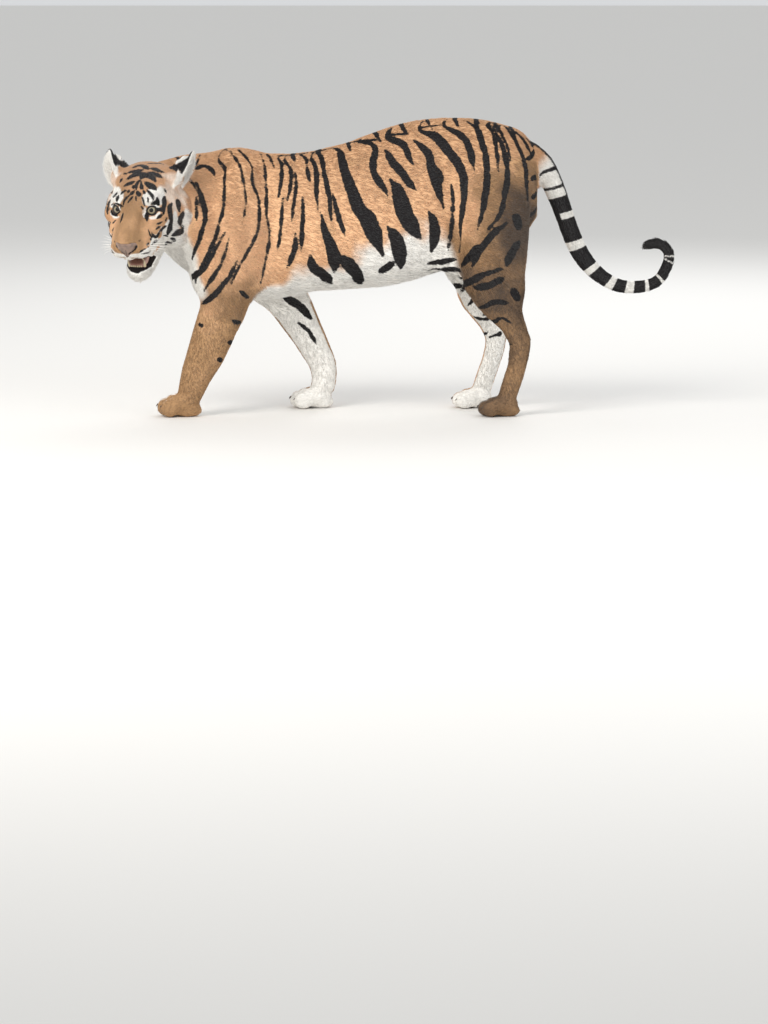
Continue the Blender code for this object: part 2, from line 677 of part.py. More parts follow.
# The bowls that the upper limbs are cut out with: centre x, y from the spine, z, then radii
SHOULDER_BOWL = {
    "left": (-0.545, 0.175, 0.520, (0.170, 0.118, 0.235)),
    "right": (-0.480, 0.175, 0.520, (0.170, 0.118, 0.235)),
}
HAUNCH_BOWL = (0.345, 0.190, 0.575, (0.185, 0.150, 0.275))
NECK_BASE, LAST_RIB = (-0.600, 0, 0.660), (0.030, 0, 0.700)
LIMB_BOX = (0.400, 0.115, 0.165)  # reach, half width and half depth of what takes a whole lower limb
BODY_BOX = (0.800, 0.300, 0.450)


def below_joint(helpers, side, joint):
    x, z, lean = joint
    return region_box(helpers, (x, SIDE[side] * LEG_OUT, z), (lean, 0, -1), LIMB_BOX)


def make_body(home, helpers):
    """Trunk, neck and legs cast as one, then parted from the feet up."""
    whole = cast(body_forms(), "chest", home, BODY_VOXEL, 14, BODY_TRIANGLES)
    made = {name: paw(name, home) for name in PAWS}
    for foot in made.values():
        clear_of(whole, foot, helpers)
    for side, sign in SIDE.items():
        x, y, z, radii = SHOULDER_BOWL[side]
        shoulder = region_bowl(helpers, (x, sign * y, z), radii)
        x, y, z, radii = HAUNCH_BOWL
        haunch = region_bowl(helpers, (x, sign * y, z), radii)
        for name, region in (
            ("forearm", below_joint(helpers, side, ELBOW[side])),
            ("upper_arm", shoulder),
            ("metatarsus", below_joint(helpers, side, HOCK[side])),
            ("shank", below_joint(helpers, side, KNEE[side])),
            ("thigh", haunch),
        ):
            part_name = f"{name}_{side}"
            made[part_name] = part_off(whole, region, part_name, home, helpers)
    ahead = region_box(helpers, NECK_BASE, (-1, 0, 0.22), BODY_BOX)
    made["neck"] = part_off(whole, ahead, "neck", home, helpers)
    behind = region_box(helpers, LAST_RIB, (1, 0, 0.08), BODY_BOX)
    made["hindquarters"] = part_off(whole, behind, "hindquarters", home, helpers)
    made["chest"] = whole
    return made


def make_head(home, helpers, behind):
    """The head with its eyes, ears, nose, jaw and tongue. The parts behind it are cut back to make room."""
    frame = head_frame()
    head = cast(head_forms(frame), "head", home, HEAD_VOXEL, 10, HEAD_TRIANGLES)
    opening = mouth_cutter(frame, helpers)
    boolean(head, opening, "DIFFERENCE")
    bpy.data.objects.remove(opening)
    made = {"head": head}
    for side in HEAD_SIDE:
        eye = eyeball(side, frame, home)
        lids = eye_opening(side, frame, helpers)
        boolean(head, lids, "DIFFERENCE")
        bpy.data.objects.remove(lids)
        clear_of(head, eye, helpers)
        made[eye.name] = eye
        flap = ear(side, frame, home)
        clear_of(flap, head, helpers)
        made[flap.name] = flap
    for neighbour in behind:
        clear_of(neighbour, head, helpers)
        for flap in (made["ear_left"], made["ear_right"]):
            clear_of(neighbour, flap, helpers)
    jaw = part_off(head, jaw_region(frame, helpers), "lower_jaw", home, helpers)
    licker = tongue(frame, home)
    clear_of(jaw, licker, helpers)
    made |= {"lower_jaw": jaw, "tongue": licker}
    made["nose"] = part_off(head, nose_region(frame, helpers), "nose", home, helpers)
    return made


def make_tail(home, helpers, rump):
    """The tail, cut into lengths from its tip back to its root."""
    whole = whole_tail(home)
    clear_of(whole, rump, helpers)
    made = {"tail_1": whole}
    for number, (place, direction) in reversed(list(enumerate(walk_tail(TAIL_CUTS), 2))):
        beyond = region_box(helpers, place, (direction.x, 0, direction.z), TAIL_BOX)
        made[f"tail_{number}"] = part_off(whole, beyond, f"tail_{number}", home, helpers)
    return made


def main():
    clear_scene()
    home = collection("bengal tigress")
    helpers = collection("cutters")
    made = make_body(home, helpers)
    made |= make_head(home, helpers, [made[name] for name in ("neck", "chest", "upper_arm_left")])
    made |= make_tail(home, helpers, made["hindquarters"])
    to_origin = Matrix.Translation(-Vector(FIGURE_MIDDLE))
    for obj in made.values():
        drop_crumbs(obj)
        obj.data.transform(to_origin)
        give_material(obj)
        obj.data.shade_smooth()
        obj.data.set_sharp_from_angle(angle=SHARP_ANGLE)
    bpy.data.collections.remove(helpers)


main()
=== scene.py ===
# %% [markdown]
# # A Bengal tigress in her coat
#
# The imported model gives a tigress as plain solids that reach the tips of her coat. This script dresses her:
# one continuous skin with markings, wet eyes, bare nose, mouth, claws and whiskers, and a coat of short tufts
# with longer hair where a tiger has it. All sizes are metres, in the same frame as the solids.

# %% Tools and the fixed frame
import json
import math

import bmesh
import bpy
import numpy as np
from mathutils import Euler, Matrix, Vector, noise
from mathutils.bvhtree import BVHTree

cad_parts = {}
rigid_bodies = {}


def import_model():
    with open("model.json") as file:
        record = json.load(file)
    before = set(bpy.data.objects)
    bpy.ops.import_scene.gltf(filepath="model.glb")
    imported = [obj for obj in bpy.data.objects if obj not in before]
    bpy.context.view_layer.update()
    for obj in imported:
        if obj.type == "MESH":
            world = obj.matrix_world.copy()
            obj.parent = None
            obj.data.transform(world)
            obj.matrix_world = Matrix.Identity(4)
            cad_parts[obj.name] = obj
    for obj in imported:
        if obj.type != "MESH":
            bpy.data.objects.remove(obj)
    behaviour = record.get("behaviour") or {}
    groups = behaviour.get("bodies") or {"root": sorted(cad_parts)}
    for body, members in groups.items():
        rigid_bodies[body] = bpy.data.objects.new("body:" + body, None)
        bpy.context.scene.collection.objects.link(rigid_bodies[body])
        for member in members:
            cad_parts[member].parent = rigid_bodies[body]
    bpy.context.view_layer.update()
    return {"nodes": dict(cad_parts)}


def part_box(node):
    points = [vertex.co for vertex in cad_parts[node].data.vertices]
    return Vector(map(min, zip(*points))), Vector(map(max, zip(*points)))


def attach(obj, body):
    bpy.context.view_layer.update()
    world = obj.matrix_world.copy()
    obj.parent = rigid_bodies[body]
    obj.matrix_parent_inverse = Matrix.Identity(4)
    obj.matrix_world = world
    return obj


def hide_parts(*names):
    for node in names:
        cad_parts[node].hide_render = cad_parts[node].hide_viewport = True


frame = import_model()
NODES = frame["nodes"]
print("solids:", len(NODES), "nodes")

# %% [markdown]
# ## Landmarks
#
# Everything is placed from the solids. Her spine lies in one plane, midway between her thighs. The head has a
# frame of its own: a points the way the nose does, l to her left and b to her crown, from midway between the
# eyes. On the head a place is easiest to name as two angles seen from the middle of the skull.

# %% Spine plane and head frame
def middle(node):
    low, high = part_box(node)
    return (low + high) / 2


SPINE_Y = (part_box("thigh_left")[0].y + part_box("thigh_right")[1].y) / 2
EYES = {1: middle("eye_left"), -1: middle("eye_right")}
EYE_RADIUS = (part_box("eye_left")[1].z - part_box("eye_left")[0].z) / 2
HEAD_PITCH = math.radians(30)
TO_LEFT = (EYES[1] - EYES[-1]).normalized()
AHEAD = TO_LEFT.cross(Vector((0, 0, 1)))
FORWARD = AHEAD * math.cos(HEAD_PITCH) - Vector((0, 0, math.sin(HEAD_PITCH)))
CROWN = FORWARD.cross(TO_LEFT)
BROW = (EYES[1] + EYES[-1]) / 2
HEAD = Matrix((FORWARD, TO_LEFT, CROWN)).transposed().to_4x4()
HEAD.translation = BROW
SKULL_AT = (-0.06, 0, -0.05)  # in the head's frame
SKULL_MIDDLE = HEAD @ Vector(SKULL_AT)


def in_head(a, l, b):
    """A direction given in the head's frame."""
    return HEAD.to_3x3() @ Vector((a, l, b))


def head_ray(azimuth, elevation):
    """The direction from the skull's middle at these degrees: round to her left from the nose, and up."""
    turn, rise = math.radians(azimuth), math.radians(elevation)
    return in_head(math.cos(turn) * math.cos(rise), math.sin(turn) * math.cos(rise), math.sin(rise))


print("spine plane y =", round(SPINE_Y, 4), " eyes", round((EYES[1] - EYES[-1]).length, 4), "m apart")

# %% [markdown]
# The tail's middle line is walked from its root, a few millimetres at a time, along headings that turn from
# the droop at the rump to the curl at the tip.

# %% The tail's line
TAIL_ROOT = Vector((0.4095, SPINE_Y, 0.8954))
TAIL_LENGTH, TAIL_SWAY, TAIL_STEP = 0.96, 0.04, 0.004
TAIL_HEADINGS = (
    (0.00, -36), (0.05, -36), (0.10, -45), (0.15, -58), (0.21, -67), (0.27, -71), (0.34, -70), (0.41, -65),
    (0.49, -48), (0.57, -30), (0.64, -3), (0.71, 14), (0.77, 62), (0.82, 72), (0.87, 136), (0.92, 197),
    (0.96, 200),
)


def tail_line():
    places, ways, here, at = [], [], TAIL_ROOT.copy(), 0.0
    while at <= TAIL_LENGTH:
        heading = math.radians(np.interp(at, *zip(*TAIL_HEADINGS)))
        sway = TAIL_SWAY * math.sin(2 * math.pi * at / TAIL_LENGTH)
        way = Vector((math.cos(heading), sway, math.sin(heading)))
        places.append(here.copy())
        ways.append(way.normalized())
        here += way * TAIL_STEP
        at += TAIL_STEP
    return np.array(places), np.array(ways)


TAIL_PLACES, TAIL_WAYS = tail_line()
print("tail line:", len(TAIL_PLACES), "steps, tip at", np.round(TAIL_PLACES[-1], 3))

# %% [markdown]
# ## Camera, floor and light
#
# She is seen from her left side, from about 14 m away and a little above, with a long lens. The floor is
# plain and pale, and the light is soft, as under a bright cloudy sky.

# %% Camera
DISTANCE, LOOK_DOWN, FIELD = 14.0, math.radians(5), 3.4133
LOOK_AT = Vector((-0.002, SPINE_Y, 0.45))
SHIFT = (-0.00586, -0.229)  # moves her into the upper half of the upright frame
camera = bpy.data.objects.new("camera", bpy.data.cameras.new("camera"))
bpy.context.scene.collection.objects.link(camera)
camera.location = LOOK_AT + DISTANCE * Vector((0, -math.cos(LOOK_DOWN), math.sin(LOOK_DOWN)))
camera.rotation_euler = (math.pi / 2 - LOOK_DOWN, 0, 0)
camera.data.lens = camera.data.sensor_width * DISTANCE / FIELD
camera.data.shift_x, camera.data.shift_y = SHIFT
bpy.context.scene.camera = camera
bpy.context.scene.view_settings.view_transform = "Standard"


# %% Colour and node helpers
def linear(hex_colour):
    """An sRGB hex colour as linear red, green, blue and alpha."""
    values = [int(hex_colour[i : i + 2], 16) / 255 for i in (1, 3, 5)]
    return [v / 12.92 if v <= 0.04045 else ((v + 0.055) / 1.055) ** 2.4 for v in values] + [1.0]


def add(tree, kind, inputs=(), **settings):
    """Adds a node with its settings. An input takes the value given, or a link if that is an output."""
    node = tree.nodes.new(kind)
    for name, value in settings.items():
        setattr(node, name, value)
    for key, value in dict(inputs).items():
        if isinstance(value, bpy.types.NodeSocket):
            tree.links.new(value, node.inputs[key])
        else:
            node.inputs[key].default_value = value
    return node


def new_material(name):
    made = bpy.data.materials.new(name)
    made.use_nodes = True
    made.node_tree.nodes.clear()
    return made, made.node_tree


def shade(tree, **values):
    """Ends a material. Values that are the same all over stay on the shader's own sockets."""
    shader = add(tree, "ShaderNodeBsdfPrincipled", {k.replace("_", " "): v for k, v in values.items()})
    add(tree, "ShaderNodeOutputMaterial", {"Surface": shader.outputs[0]})


# %% Floor and lights
def new_object(name, mesh):
    made = bpy.data.objects.new(name, mesh)
    bpy.context.scene.collection.objects.link(made)
    return made


def make_floor():
    bm = bmesh.new()
    bmesh.ops.create_grid(bm, x_segments=1, y_segments=1, size=60)
    mesh = bpy.data.meshes.new("floor")
    bm.to_mesh(mesh)
    bm.free()
    floor = new_object("floor", mesh)
    material, tree = new_material("plain pale studio floor")
    shade(tree, Base_Color=linear("#e9e7e3"), Roughness=0.9)
    mesh.materials.append(material)


def area_light(name, place, size, power, warmth):
    light = bpy.data.lights.new(name, "AREA")
    light.size, light.energy, light.color = size, power, warmth
    lamp = new_object(name, light)
    lamp.location = place
    lamp.rotation_euler = (LOOK_AT - Vector(place)).to_track_quat("-Z", "Y").to_euler()


make_floor()
area_light("key softbox", (-3.2, -4.0, 4.6), 3.0, 250, (1.0, 0.97, 0.93))
area_light("fill softbox", (4.0, -4.5, 2.4), 4.0, 90, (0.93, 0.96, 1.0))
area_light("back softbox", (1.5, 4.5, 4.0), 4.0, 110, (0.97, 0.98, 1.0))
world = bpy.data.worlds.new("cloudy sky")
bpy.context.scene.world = world
world.use_nodes = True
world.node_tree.nodes.clear()
sky = add(world.node_tree, "ShaderNodeBackground", {"Color": linear("#eef0f2"), "Strength": 0.8})
add(world.node_tree, "ShaderNodeOutputWorld", {"Surface": sky.outputs[0]})

# %% [markdown]
# ## One skin
#
# The solids are cut into limbs, but a tigress has one skin. It could be sculpted apart from them, but then
# it would drift from the true outline. Instead the flesh solids are copied, joined with a voxel remesh and
# relaxed until their facets melt away. Relaxing shrinks a form, so each point is then put back by the mean
# distance to the solids round it. The head is joined again at a finer grain, to keep its detail.

# %% Mesh helpers
def coordinates(mesh):
    flat = np.empty(len(mesh.vertices) * 3, np.float32)
    mesh.vertices.foreach_get("co", flat)
    return flat.reshape(-1, 3).astype(float)


def set_coordinates(mesh, places):
    mesh.vertices.foreach_set("co", places.astype(np.float32).ravel())
    mesh.update()


def normals_of(mesh):
    flat = np.empty(len(mesh.vertices) * 3, np.float32)
    mesh.vertices.foreach_get("normal", flat)
    return flat.reshape(-1, 3).astype(float)


def edges_of(mesh):
    flat = np.empty(len(mesh.edges) * 2, np.int32)
    mesh.edges.foreach_get("vertices", flat)
    return flat.reshape(-1, 2)


def relaxed(values, edges, rounds, amount=0.5):
    """Each vertex's values, moved towards the mean of its neighbours', this many times."""
    values = np.array(values, float)
    flat = values.reshape(len(values), -1)
    first, second = edges[:, 0], edges[:, 1]
    count = len(flat)
    degree = np.maximum(np.bincount(edges.ravel(), minlength=count), 1)[:, None]
    for _ in range(rounds):
        total = np.stack(
            [
                np.bincount(first, flat[second, k], count) + np.bincount(second, flat[first, k], count)
                for k in range(flat.shape[1])
            ],
            axis=1,
        )
        flat = flat + amount * (total / degree - flat)
    return flat.reshape(values.shape)


def smoothstep(low, high, x):
    t = np.clip((x - low) / (high - low), 0, 1)
    return t * t * (3 - 2 * t)


def finish_modifiers(obj):
    """Replaces the object's mesh with the one that its modifiers make."""
    graph = bpy.context.evaluated_depsgraph_get()
    mesh = bpy.data.meshes.new_from_object(obj.evaluated_get(graph))
    obj.modifiers.clear()
    obj.data = mesh
    return obj


def join_by_voxels(obj, voxel):
    remesh = obj.modifiers.new("Join", "REMESH")
    remesh.mode = "VOXEL"
    remesh.voxel_size = voxel
    return finish_modifiers(obj)


def surface_tree(mesh):
    mesh.calc_loop_triangles()
    faces = [tuple(t.vertices) for t in mesh.loop_triangles]
    return BVHTree.FromPolygons([v.co for v in mesh.vertices], faces)


def put_back(obj, shape, solids, rounds):
    """Sets a relaxed shape, then moves each point out by the mean depth round it under the solids."""
    set_coordinates(obj.data, shape)
    places, normals = coordinates(obj.data), normals_of(obj.data)
    depths = np.zeros(len(places))
    for i, (place, normal) in enumerate(zip(places, normals)):
        found = solids.find_nearest(Vector(place))[0]
        depths[i] = (found - Vector(place)).dot(Vector(normal))
    depths = relaxed(depths, edges_of(obj.data), rounds)
    set_coordinates(obj.data, places + normals * depths[:, None])


# %% Joining the flesh
BARE = ("eye_left", "eye_right", "tongue")
FLESH = sorted(name for name in NODES if name not in BARE)
HEAD_NODES = ("head", "lower_jaw", "nose", "ear_left", "ear_right")
OVERLAP = 0.0006  # grown on every side, so that the thin cuts between the solids close
SOFT_ROUNDS, CRISP_ROUNDS = 45, 5  # how long the body is relaxed, and how long its fine parts are
BODY_VOXEL, HEAD_VOXEL, SKIN_VOXEL, TONGUE_VOXEL = 0.006, 0.0032, 0.0041, 0.0016


def add_node(bm, name, grown):
    part = bmesh.new()
    part.from_mesh(NODES[name].data)
    bmesh.ops.remove_doubles(part, verts=part.verts, dist=1e-5)
    part.normal_update()
    for vertex in part.verts:
        vertex.co += vertex.normal * grown
    mesh = bpy.data.meshes.new(name)
    part.to_mesh(mesh)
    part.free()
    bm.from_mesh(mesh)
    bpy.data.meshes.remove(mesh)


def object_of(bm, name):
    mesh = bpy.data.meshes.new(name)
    bm.to_mesh(mesh)
    bm.free()
    return new_object(name, mesh)


def copied_nodes(names, name):
    bm = bmesh.new()
    for node in names:
        add_node(bm, node, OVERLAP)
    return object_of(bm, name)


def soft_body():
    """The whole figure at a coarse grain, relaxed less on its fine parts, and put back where it shrank."""
    body = join_by_voxels(copied_nodes(FLESH, "soft body"), BODY_VOXEL)
    places, edges = coordinates(body.data), edges_of(body.data)
    solids = surface_tree(body.data)
    fine = np.zeros(len(places))
    for node in FLESH:
        if node in HEAD_NODES or node.startswith(("tail", "fore", "hindpaw", "metatarsus")):
            low, high = (np.array(c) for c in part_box(node))
            inside = np.all((places > low - 0.01) & (places < high + 0.01), axis=1)
            fine[inside] = 0.75 if node.startswith(("forearm", "metatarsus")) else 0.9
    fine = relaxed(fine, edges, 8)[:, None]
    soft, crisp = relaxed(places, edges, SOFT_ROUNDS), relaxed(places, edges, CRISP_ROUNDS)
    put_back(body, crisp * fine + soft * (1 - fine), solids, 30)
    return body


body = soft_body()
print("soft body:", len(body.data.vertices), "points")

# %% [markdown]
# ## Head and paws
#
# The head's solids are good, but coarse round the eyes, nose and lips. Extra forms are laid into them before
# the last remesh: the balls of the closed lids, brows and cheeks, the bridge and tip of the nose, the pads
# that hold the whiskers, and the backs of the ears. The paws get round toes again.

# %% Extra forms of the head
def ball(bm, centre, radii, turn=(0, 0, 0), place=None, detail=4):
    """An ellipsoid, turned by these degrees, in a frame of its own if one is given."""
    where = Matrix.Translation(centre) @ Euler([math.radians(t) for t in turn]).to_matrix().to_4x4()
    where = (place or Matrix()) @ where @ Matrix.Diagonal((*radii, 1))
    bmesh.ops.create_icosphere(bm, subdivisions=detail, radius=1, matrix=where)


LID_THICKNESS = 0.0030
# Centre, radii and degrees of turn, as they are on her left side
PAIRED_FORMS = (
    # The fold of the brow above the eye, and the cheek that carries the lower lid
    ((-0.018, 0.056, 0.019), (0.026, 0.026, 0.009), (0, 12, 20)),
    ((-0.004, 0.068, -0.026), (0.024, 0.026, 0.016), (0, -10, 24)),
    # Whisker pads, and the flews that hang at the sides of the mouth
    ((0.088, 0.036, -0.088), (0.043, 0.034, 0.036), (0, 6, 8)),
    ((0.060, 0.052, -0.104), (0.044, 0.020, 0.028), (0, 6, 14)),
    # The hollow between the bridge of the nose and the cheek
    ((0.040, 0.038, -0.044), (0.060, 0.026, 0.030), (0, 14, 10)),
    # The skin of the cheek, from the corner of the mouth back to the hinge of the jaw
    ((-0.012, 0.040, -0.128), (0.050, 0.026, 0.044), (0, 10, 8)),
)
SINGLE_FORMS = (
    # The bridge of the nose and its tip
    ((0.070, 0, -0.040), (0.072, 0.034, 0.032), (0, 17, 0)),
    ((0.118, 0, -0.092), (0.020, 0.026, 0.026), (0, 0, 0)),
    # The broad backs of the ears, which run down on to the crown
    ((-0.164, 0.112, 0.067), (0.012, 0.027, 0.018), (30, 0, 0)),
    ((-0.174, 0.131, 0.077), (0.010, 0.021, 0.019), (34, 0, 0)),
    ((-0.160, -0.084, 0.068), (0.011, 0.019, 0.013), (-38, 0, 0)),
    ((-0.175, -0.104, 0.081), (0.009, 0.016, 0.014), (-48, 0, 0)),
    # The floor and the roof of the mouth, which meet behind the tongue
    ((0.000, 0, -0.122), (0.052, 0.050, 0.042), (0, 10, 0)),
)


def head_forms(bm):
    lid = EYE_RADIUS + LID_THICKNESS
    for side in (1, -1):
        ball(bm, HEAD.inverted() @ EYES[side], (lid, lid, lid), place=HEAD)
        for (a, l, b), radii, (_, pitch, yaw) in PAIRED_FORMS:
            ball(bm, (a, side * l, b), radii, (0, pitch, side * yaw), HEAD)
    for centre, radii, turn in SINGLE_FORMS:
        ball(bm, centre, radii, turn, HEAD)


# %% Toes
TOES, TOE_PITCH = (-1.5, -0.5, 0.5, 1.5), 0.49  # the pitch is a share of half the paw's width


def paw_forms(bm, node):
    """Four toes in front and the round back of the foot, filling the paw's own box."""
    low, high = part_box(node)
    length, width, height = high - low
    centre = Vector(((low.x + high.x) / 2, (low.y + high.y) / 2, 0))
    place = Matrix.Translation(centre) @ Matrix.Rotation(math.pi, 4, "Z")
    half, side = length / 2, width / 2
    ball(bm, (-0.20 * half, 0, 0.50 * height), (0.66 * half, 0.76 * side, 0.46 * height), (0, 12, 0), place)
    for toe in TOES:
        ahead = (0.56 if abs(toe) < 1 else 0.38) * half
        across = toe * TOE_PITCH * side
        ball(bm, (ahead, across, 0.37 * height),
             (0.40 * half, 0.26 * side, 0.37 * height), (0, 6, 7 * toe), place)
        ball(bm, (ahead - 0.28 * half, 0.92 * across, 0.54 * height),
             (0.40 * half, 0.23 * side, 0.34 * height), (0, 22, 5 * toe), place)


# %% The skin before its last sculpting
def soft_head():
    """The head's own solids at a finer grain, relaxed only as much as their facets need."""
    head = join_by_voxels(copied_nodes(HEAD_NODES, "soft head"), HEAD_VOXEL)
    solids = surface_tree(head.data)
    put_back(head, relaxed(coordinates(head.data), edges_of(head.data), 16), solids, 10)
    return head


PAW_NODES = ("forepaw_left", "forepaw_right", "hindpaw_left", "hindpaw_right")


def join_skin(body):
    bm = bmesh.new()
    bm.from_mesh(body.data)
    head = soft_head()
    bm.from_mesh(head.data)
    bpy.data.objects.remove(head)
    head_forms(bm)
    for node in PAW_NODES:
        paw_forms(bm, node)
    skin = join_by_voxels(object_of(bm, "skin"), SKIN_VOXEL)
    bpy.data.objects.remove(body)
    edges = edges_of(skin.data)
    set_coordinates(skin.data, relaxed(coordinates(skin.data), edges, 3))
    return skin


def triangulated(obj):
    obj.modifiers.new("Triangles", "TRIANGULATE")
    return finish_modifiers(obj)


skin = triangulated(join_skin(body))
print("skin:", len(skin.data.vertices), "points,", len(skin.data.polygons), "faces")

# %% [markdown]
# ## Eye sockets and lids
#
# A cat's eye is a ball behind an almond opening, and the lids lie close over it. The opening is measured as
# angles round the eye's middle: skin inside it sinks behind the ball, and skin outside it stays a lid's
# thickness in front. Faces round the eyes are divided first, so that the lids' edges are smooth.

# %% The opening of an eye
OPENING = {"inner": 58, "outer": 60, "top": 43, "bottom": 41, "tilt": 8}
GAZE = Vector((0.82, 0.31, 0.47)).normalized()  # where her left eye looks, in the head's frame
RIGHT_GAZE = 0.12  # her right eye looks less far to the left


def eye_frame(side):
    """Out of the opening, out to the temple, and up."""
    out = in_head(0.82, side * 0.42, 0.33).normalized()
    temple = TO_LEFT * side - out * (TO_LEFT * side).dot(out)
    temple.normalize()
    up = CROWN - out * CROWN.dot(out) - temple * CROWN.dot(temple)
    return out, temple, up.normalized()


def outside_opening(side, ways):
    """How many degrees each direction lies outside the almond, less than nothing inside it."""
    out, temple, up = (np.array(v) for v in eye_frame(side))
    across = np.degrees(np.arctan2(ways @ temple, ways @ out))
    above = np.degrees(np.arcsin(np.clip(ways @ up, -1, 1)))
    tilt = math.radians(OPENING["tilt"])
    across, above = (across * math.cos(tilt) + above * math.sin(tilt),
                     above * math.cos(tilt) - across * math.sin(tilt))
    reach = np.where(across > 0, OPENING["outer"], OPENING["inner"])
    left = np.clip(1 - (across / reach) ** 2, 0, 1)
    top, bottom = OPENING["top"] * left**0.75, -OPENING["bottom"] * left**0.9
    edge = np.maximum(above - top, bottom - above)
    beyond = np.hypot(np.abs(across) - reach, above)
    return np.where(np.abs(across) < reach, edge, beyond)


def halve_edges(mesh, wanted, rounds=1):
    """Divides every edge that is wanted, and makes triangles again of the faces this cuts."""
    bm = bmesh.new()
    bm.from_mesh(mesh)
    for _ in range(rounds):
        bmesh.ops.subdivide_edges(bm, edges=[e for e in bm.edges if wanted(e)], cuts=1)
        bmesh.ops.triangulate(bm, faces=[f for f in bm.faces if len(f.verts) > 3])
    bm.to_mesh(mesh)
    bm.free()


LID_EDGE = 0.0010  # edges of the lids longer than this are divided
LID_REACH = 26  # degrees from the opening over which a lid lies close to the ball
SUNK = 0.004  # how far under the ball's surface the skin sinks inside the opening


def round_eye(edge):
    """Whether a long edge lies close round an eye."""
    gap = min((edge.verts[0].co - eye).length for eye in EYES.values())
    return gap < EYE_RADIUS * 1.5 and edge.calc_length() > LID_EDGE


def sculpt_eyes(skin):
    places = coordinates(skin.data)
    for side, eye in EYES.items():
        away = places - np.array(eye)
        far = np.linalg.norm(away, axis=1)
        ahead = away @ np.array(eye_frame(side)[0])
        near = np.nonzero((far < EYE_RADIUS * 2) & (ahead > -0.2 * EYE_RADIUS))[0]
        ways = away[near] / far[near, None]
        outside = outside_opening(side, ways)
        lid = np.maximum(far[near], EYE_RADIUS + LID_THICKNESS)
        lid += (EYE_RADIUS + LID_THICKNESS - lid) * (1 - smoothstep(0, LID_REACH, outside)) * 0.8
        sunk = EYE_RADIUS - SUNK
        open_eye = 1 - smoothstep(-3.5, 0.0, outside)
        places[near] = np.array(eye) + ways * (lid + (sunk - lid) * open_eye)[:, None]
    set_coordinates(skin.data, places)


halve_edges(skin.data, round_eye, rounds=3)
sculpt_eyes(skin)
print("skin with lids:", len(skin.data.vertices), "points")

# %% [markdown]
# ## Markings
#
# A tigress is orange above and white below, with black stripes that run round the body, double up, break
# and taper. An image could carry them, but strokes laid on the skin keep their edges at any distance, and
# skin and hairs can share them. Each stroke is a few points and a width. It is laid on the skin by rays
# from her side, or on the head by rays towards the skull's middle, and every skin point then stores its
# distance to the nearest edge.

# %% Laying strokes on the skin
NO_MARK = 0.02  # the distance stored where no mark is near


def smooth_path(points, step):
    """Points along a Catmull-Rom curve, about a step apart, with every column taken along."""
    points = np.array(points, float)
    ends = np.vstack([2 * points[0] - points[1], points, 2 * points[-1] - points[-2]])
    made = []
    for i in range(1, len(ends) - 2):
        a, b, c, d = ends[i - 1 : i + 3]
        count = max(int(np.linalg.norm((c - b)[:3]) / step), 1)
        for t in np.arange(count) / count:
            bend, twist = 2 * a - 5 * b + 4 * c - d, 3 * (b - c) + d - a
            made.append(0.5 * (2 * b + (c - a) * t + bend * t**2 + twist * t**3))
    return np.array(made + [points[-1]])


skin_tree = surface_tree(skin.data)
SKIN_PLACES, SKIN_NORMALS = coordinates(skin.data), normals_of(skin.data)


def laid_from_side(x, z, side):
    """The skin seen first from her left (-1) or right (+1) at this length and height."""
    hit = skin_tree.ray_cast(Vector((x, SPINE_Y + side * 1.0, z)), Vector((0, -side, 0)))[0]
    return hit or skin_tree.find_nearest(Vector((x, SPINE_Y + side * 0.03, z)))[0]


head_only = bmesh.new()
for node in ("head", "nose"):
    add_node(head_only, node, 0)
head_tree = BVHTree.FromBMesh(head_only)
head_only.free()


def laid_on_head(azimuth, elevation):
    way = head_ray(azimuth, elevation)
    hit = head_tree.ray_cast(SKULL_MIDDLE + way * 0.5, -way)[0] or SKULL_MIDDLE + way * 0.1
    return skin_tree.find_nearest(hit)[0]


def on_skin(path):
    """The path's points moved onto the skin, with the skin's normals there."""
    places, normals = zip(*[skin_tree.find_nearest(Vector(row[:3]))[:2] for row in path])
    return np.array(places), np.array(normals)


def distance_to(strokes, reach=NO_MARK):
    """How far each skin point lies outside the nearest stroke's edge, less than nothing inside it."""
    nearest = np.full(len(SKIN_PLACES), reach)
    for path, normals, halves in strokes:
        low, high = path.min(0) - reach - halves.max(), path.max(0) + reach + halves.max()
        close = np.nonzero(np.all((SKIN_PLACES > low) & (SKIN_PLACES < high), axis=1))[0]
        for start in range(0, len(close), 4000):
            some = close[start : start + 4000]
            gaps = np.linalg.norm(SKIN_PLACES[some, None] - path[None], axis=2) - halves
            gaps[SKIN_NORMALS[some] @ normals.T < -0.1] = reach
            nearest[some] = np.minimum(nearest[some], gaps.min(axis=1))
    return nearest


def stroke(laid, taper=0.35, step=0.004, rounds=24):
    """A stroke from laid points, whose fourth column is the full width in millimetres."""
    path = smooth_path(laid, step)
    for _ in range(rounds):
        path[1:-1] += 0.25 * (path[:-2] + path[2:] - 2 * path[1:-1])
    along = np.linspace(0, 1, len(path))
    shape = taper + (1 - taper) * np.minimum(along, 1 - along) / 0.2
    places, normals = on_skin(path)
    return places, normals, path[:, 3] / 2000 * np.clip(shape, 0, 1)


def side_stroke(width, points, side=-1, shift=0.0):
    """Points as length and height in centimetres, and a width in millimetres where it changes."""
    laid = []
    x, z = points[0][0] / 100, points[0][1] / 100
    top = skin_tree.ray_cast(Vector((x + 0.012, SPINE_Y + side * 0.022, 1.2)), Vector((0, 0, -1)))[0]
    if top and 0 < top.z - z < 0.055 and len(points) > 2:
        laid.append([*top, (points[0][2:] or (width,))[0] * 0.8])
    for x, z, *wide in points:
        bend = shift and shift + 0.012 * math.sin(0.11 * z + 0.05 * x)
        laid.append([*laid_from_side(x / 100 + bend, z / 100, side), *(wide or [width])])
    return stroke(laid)


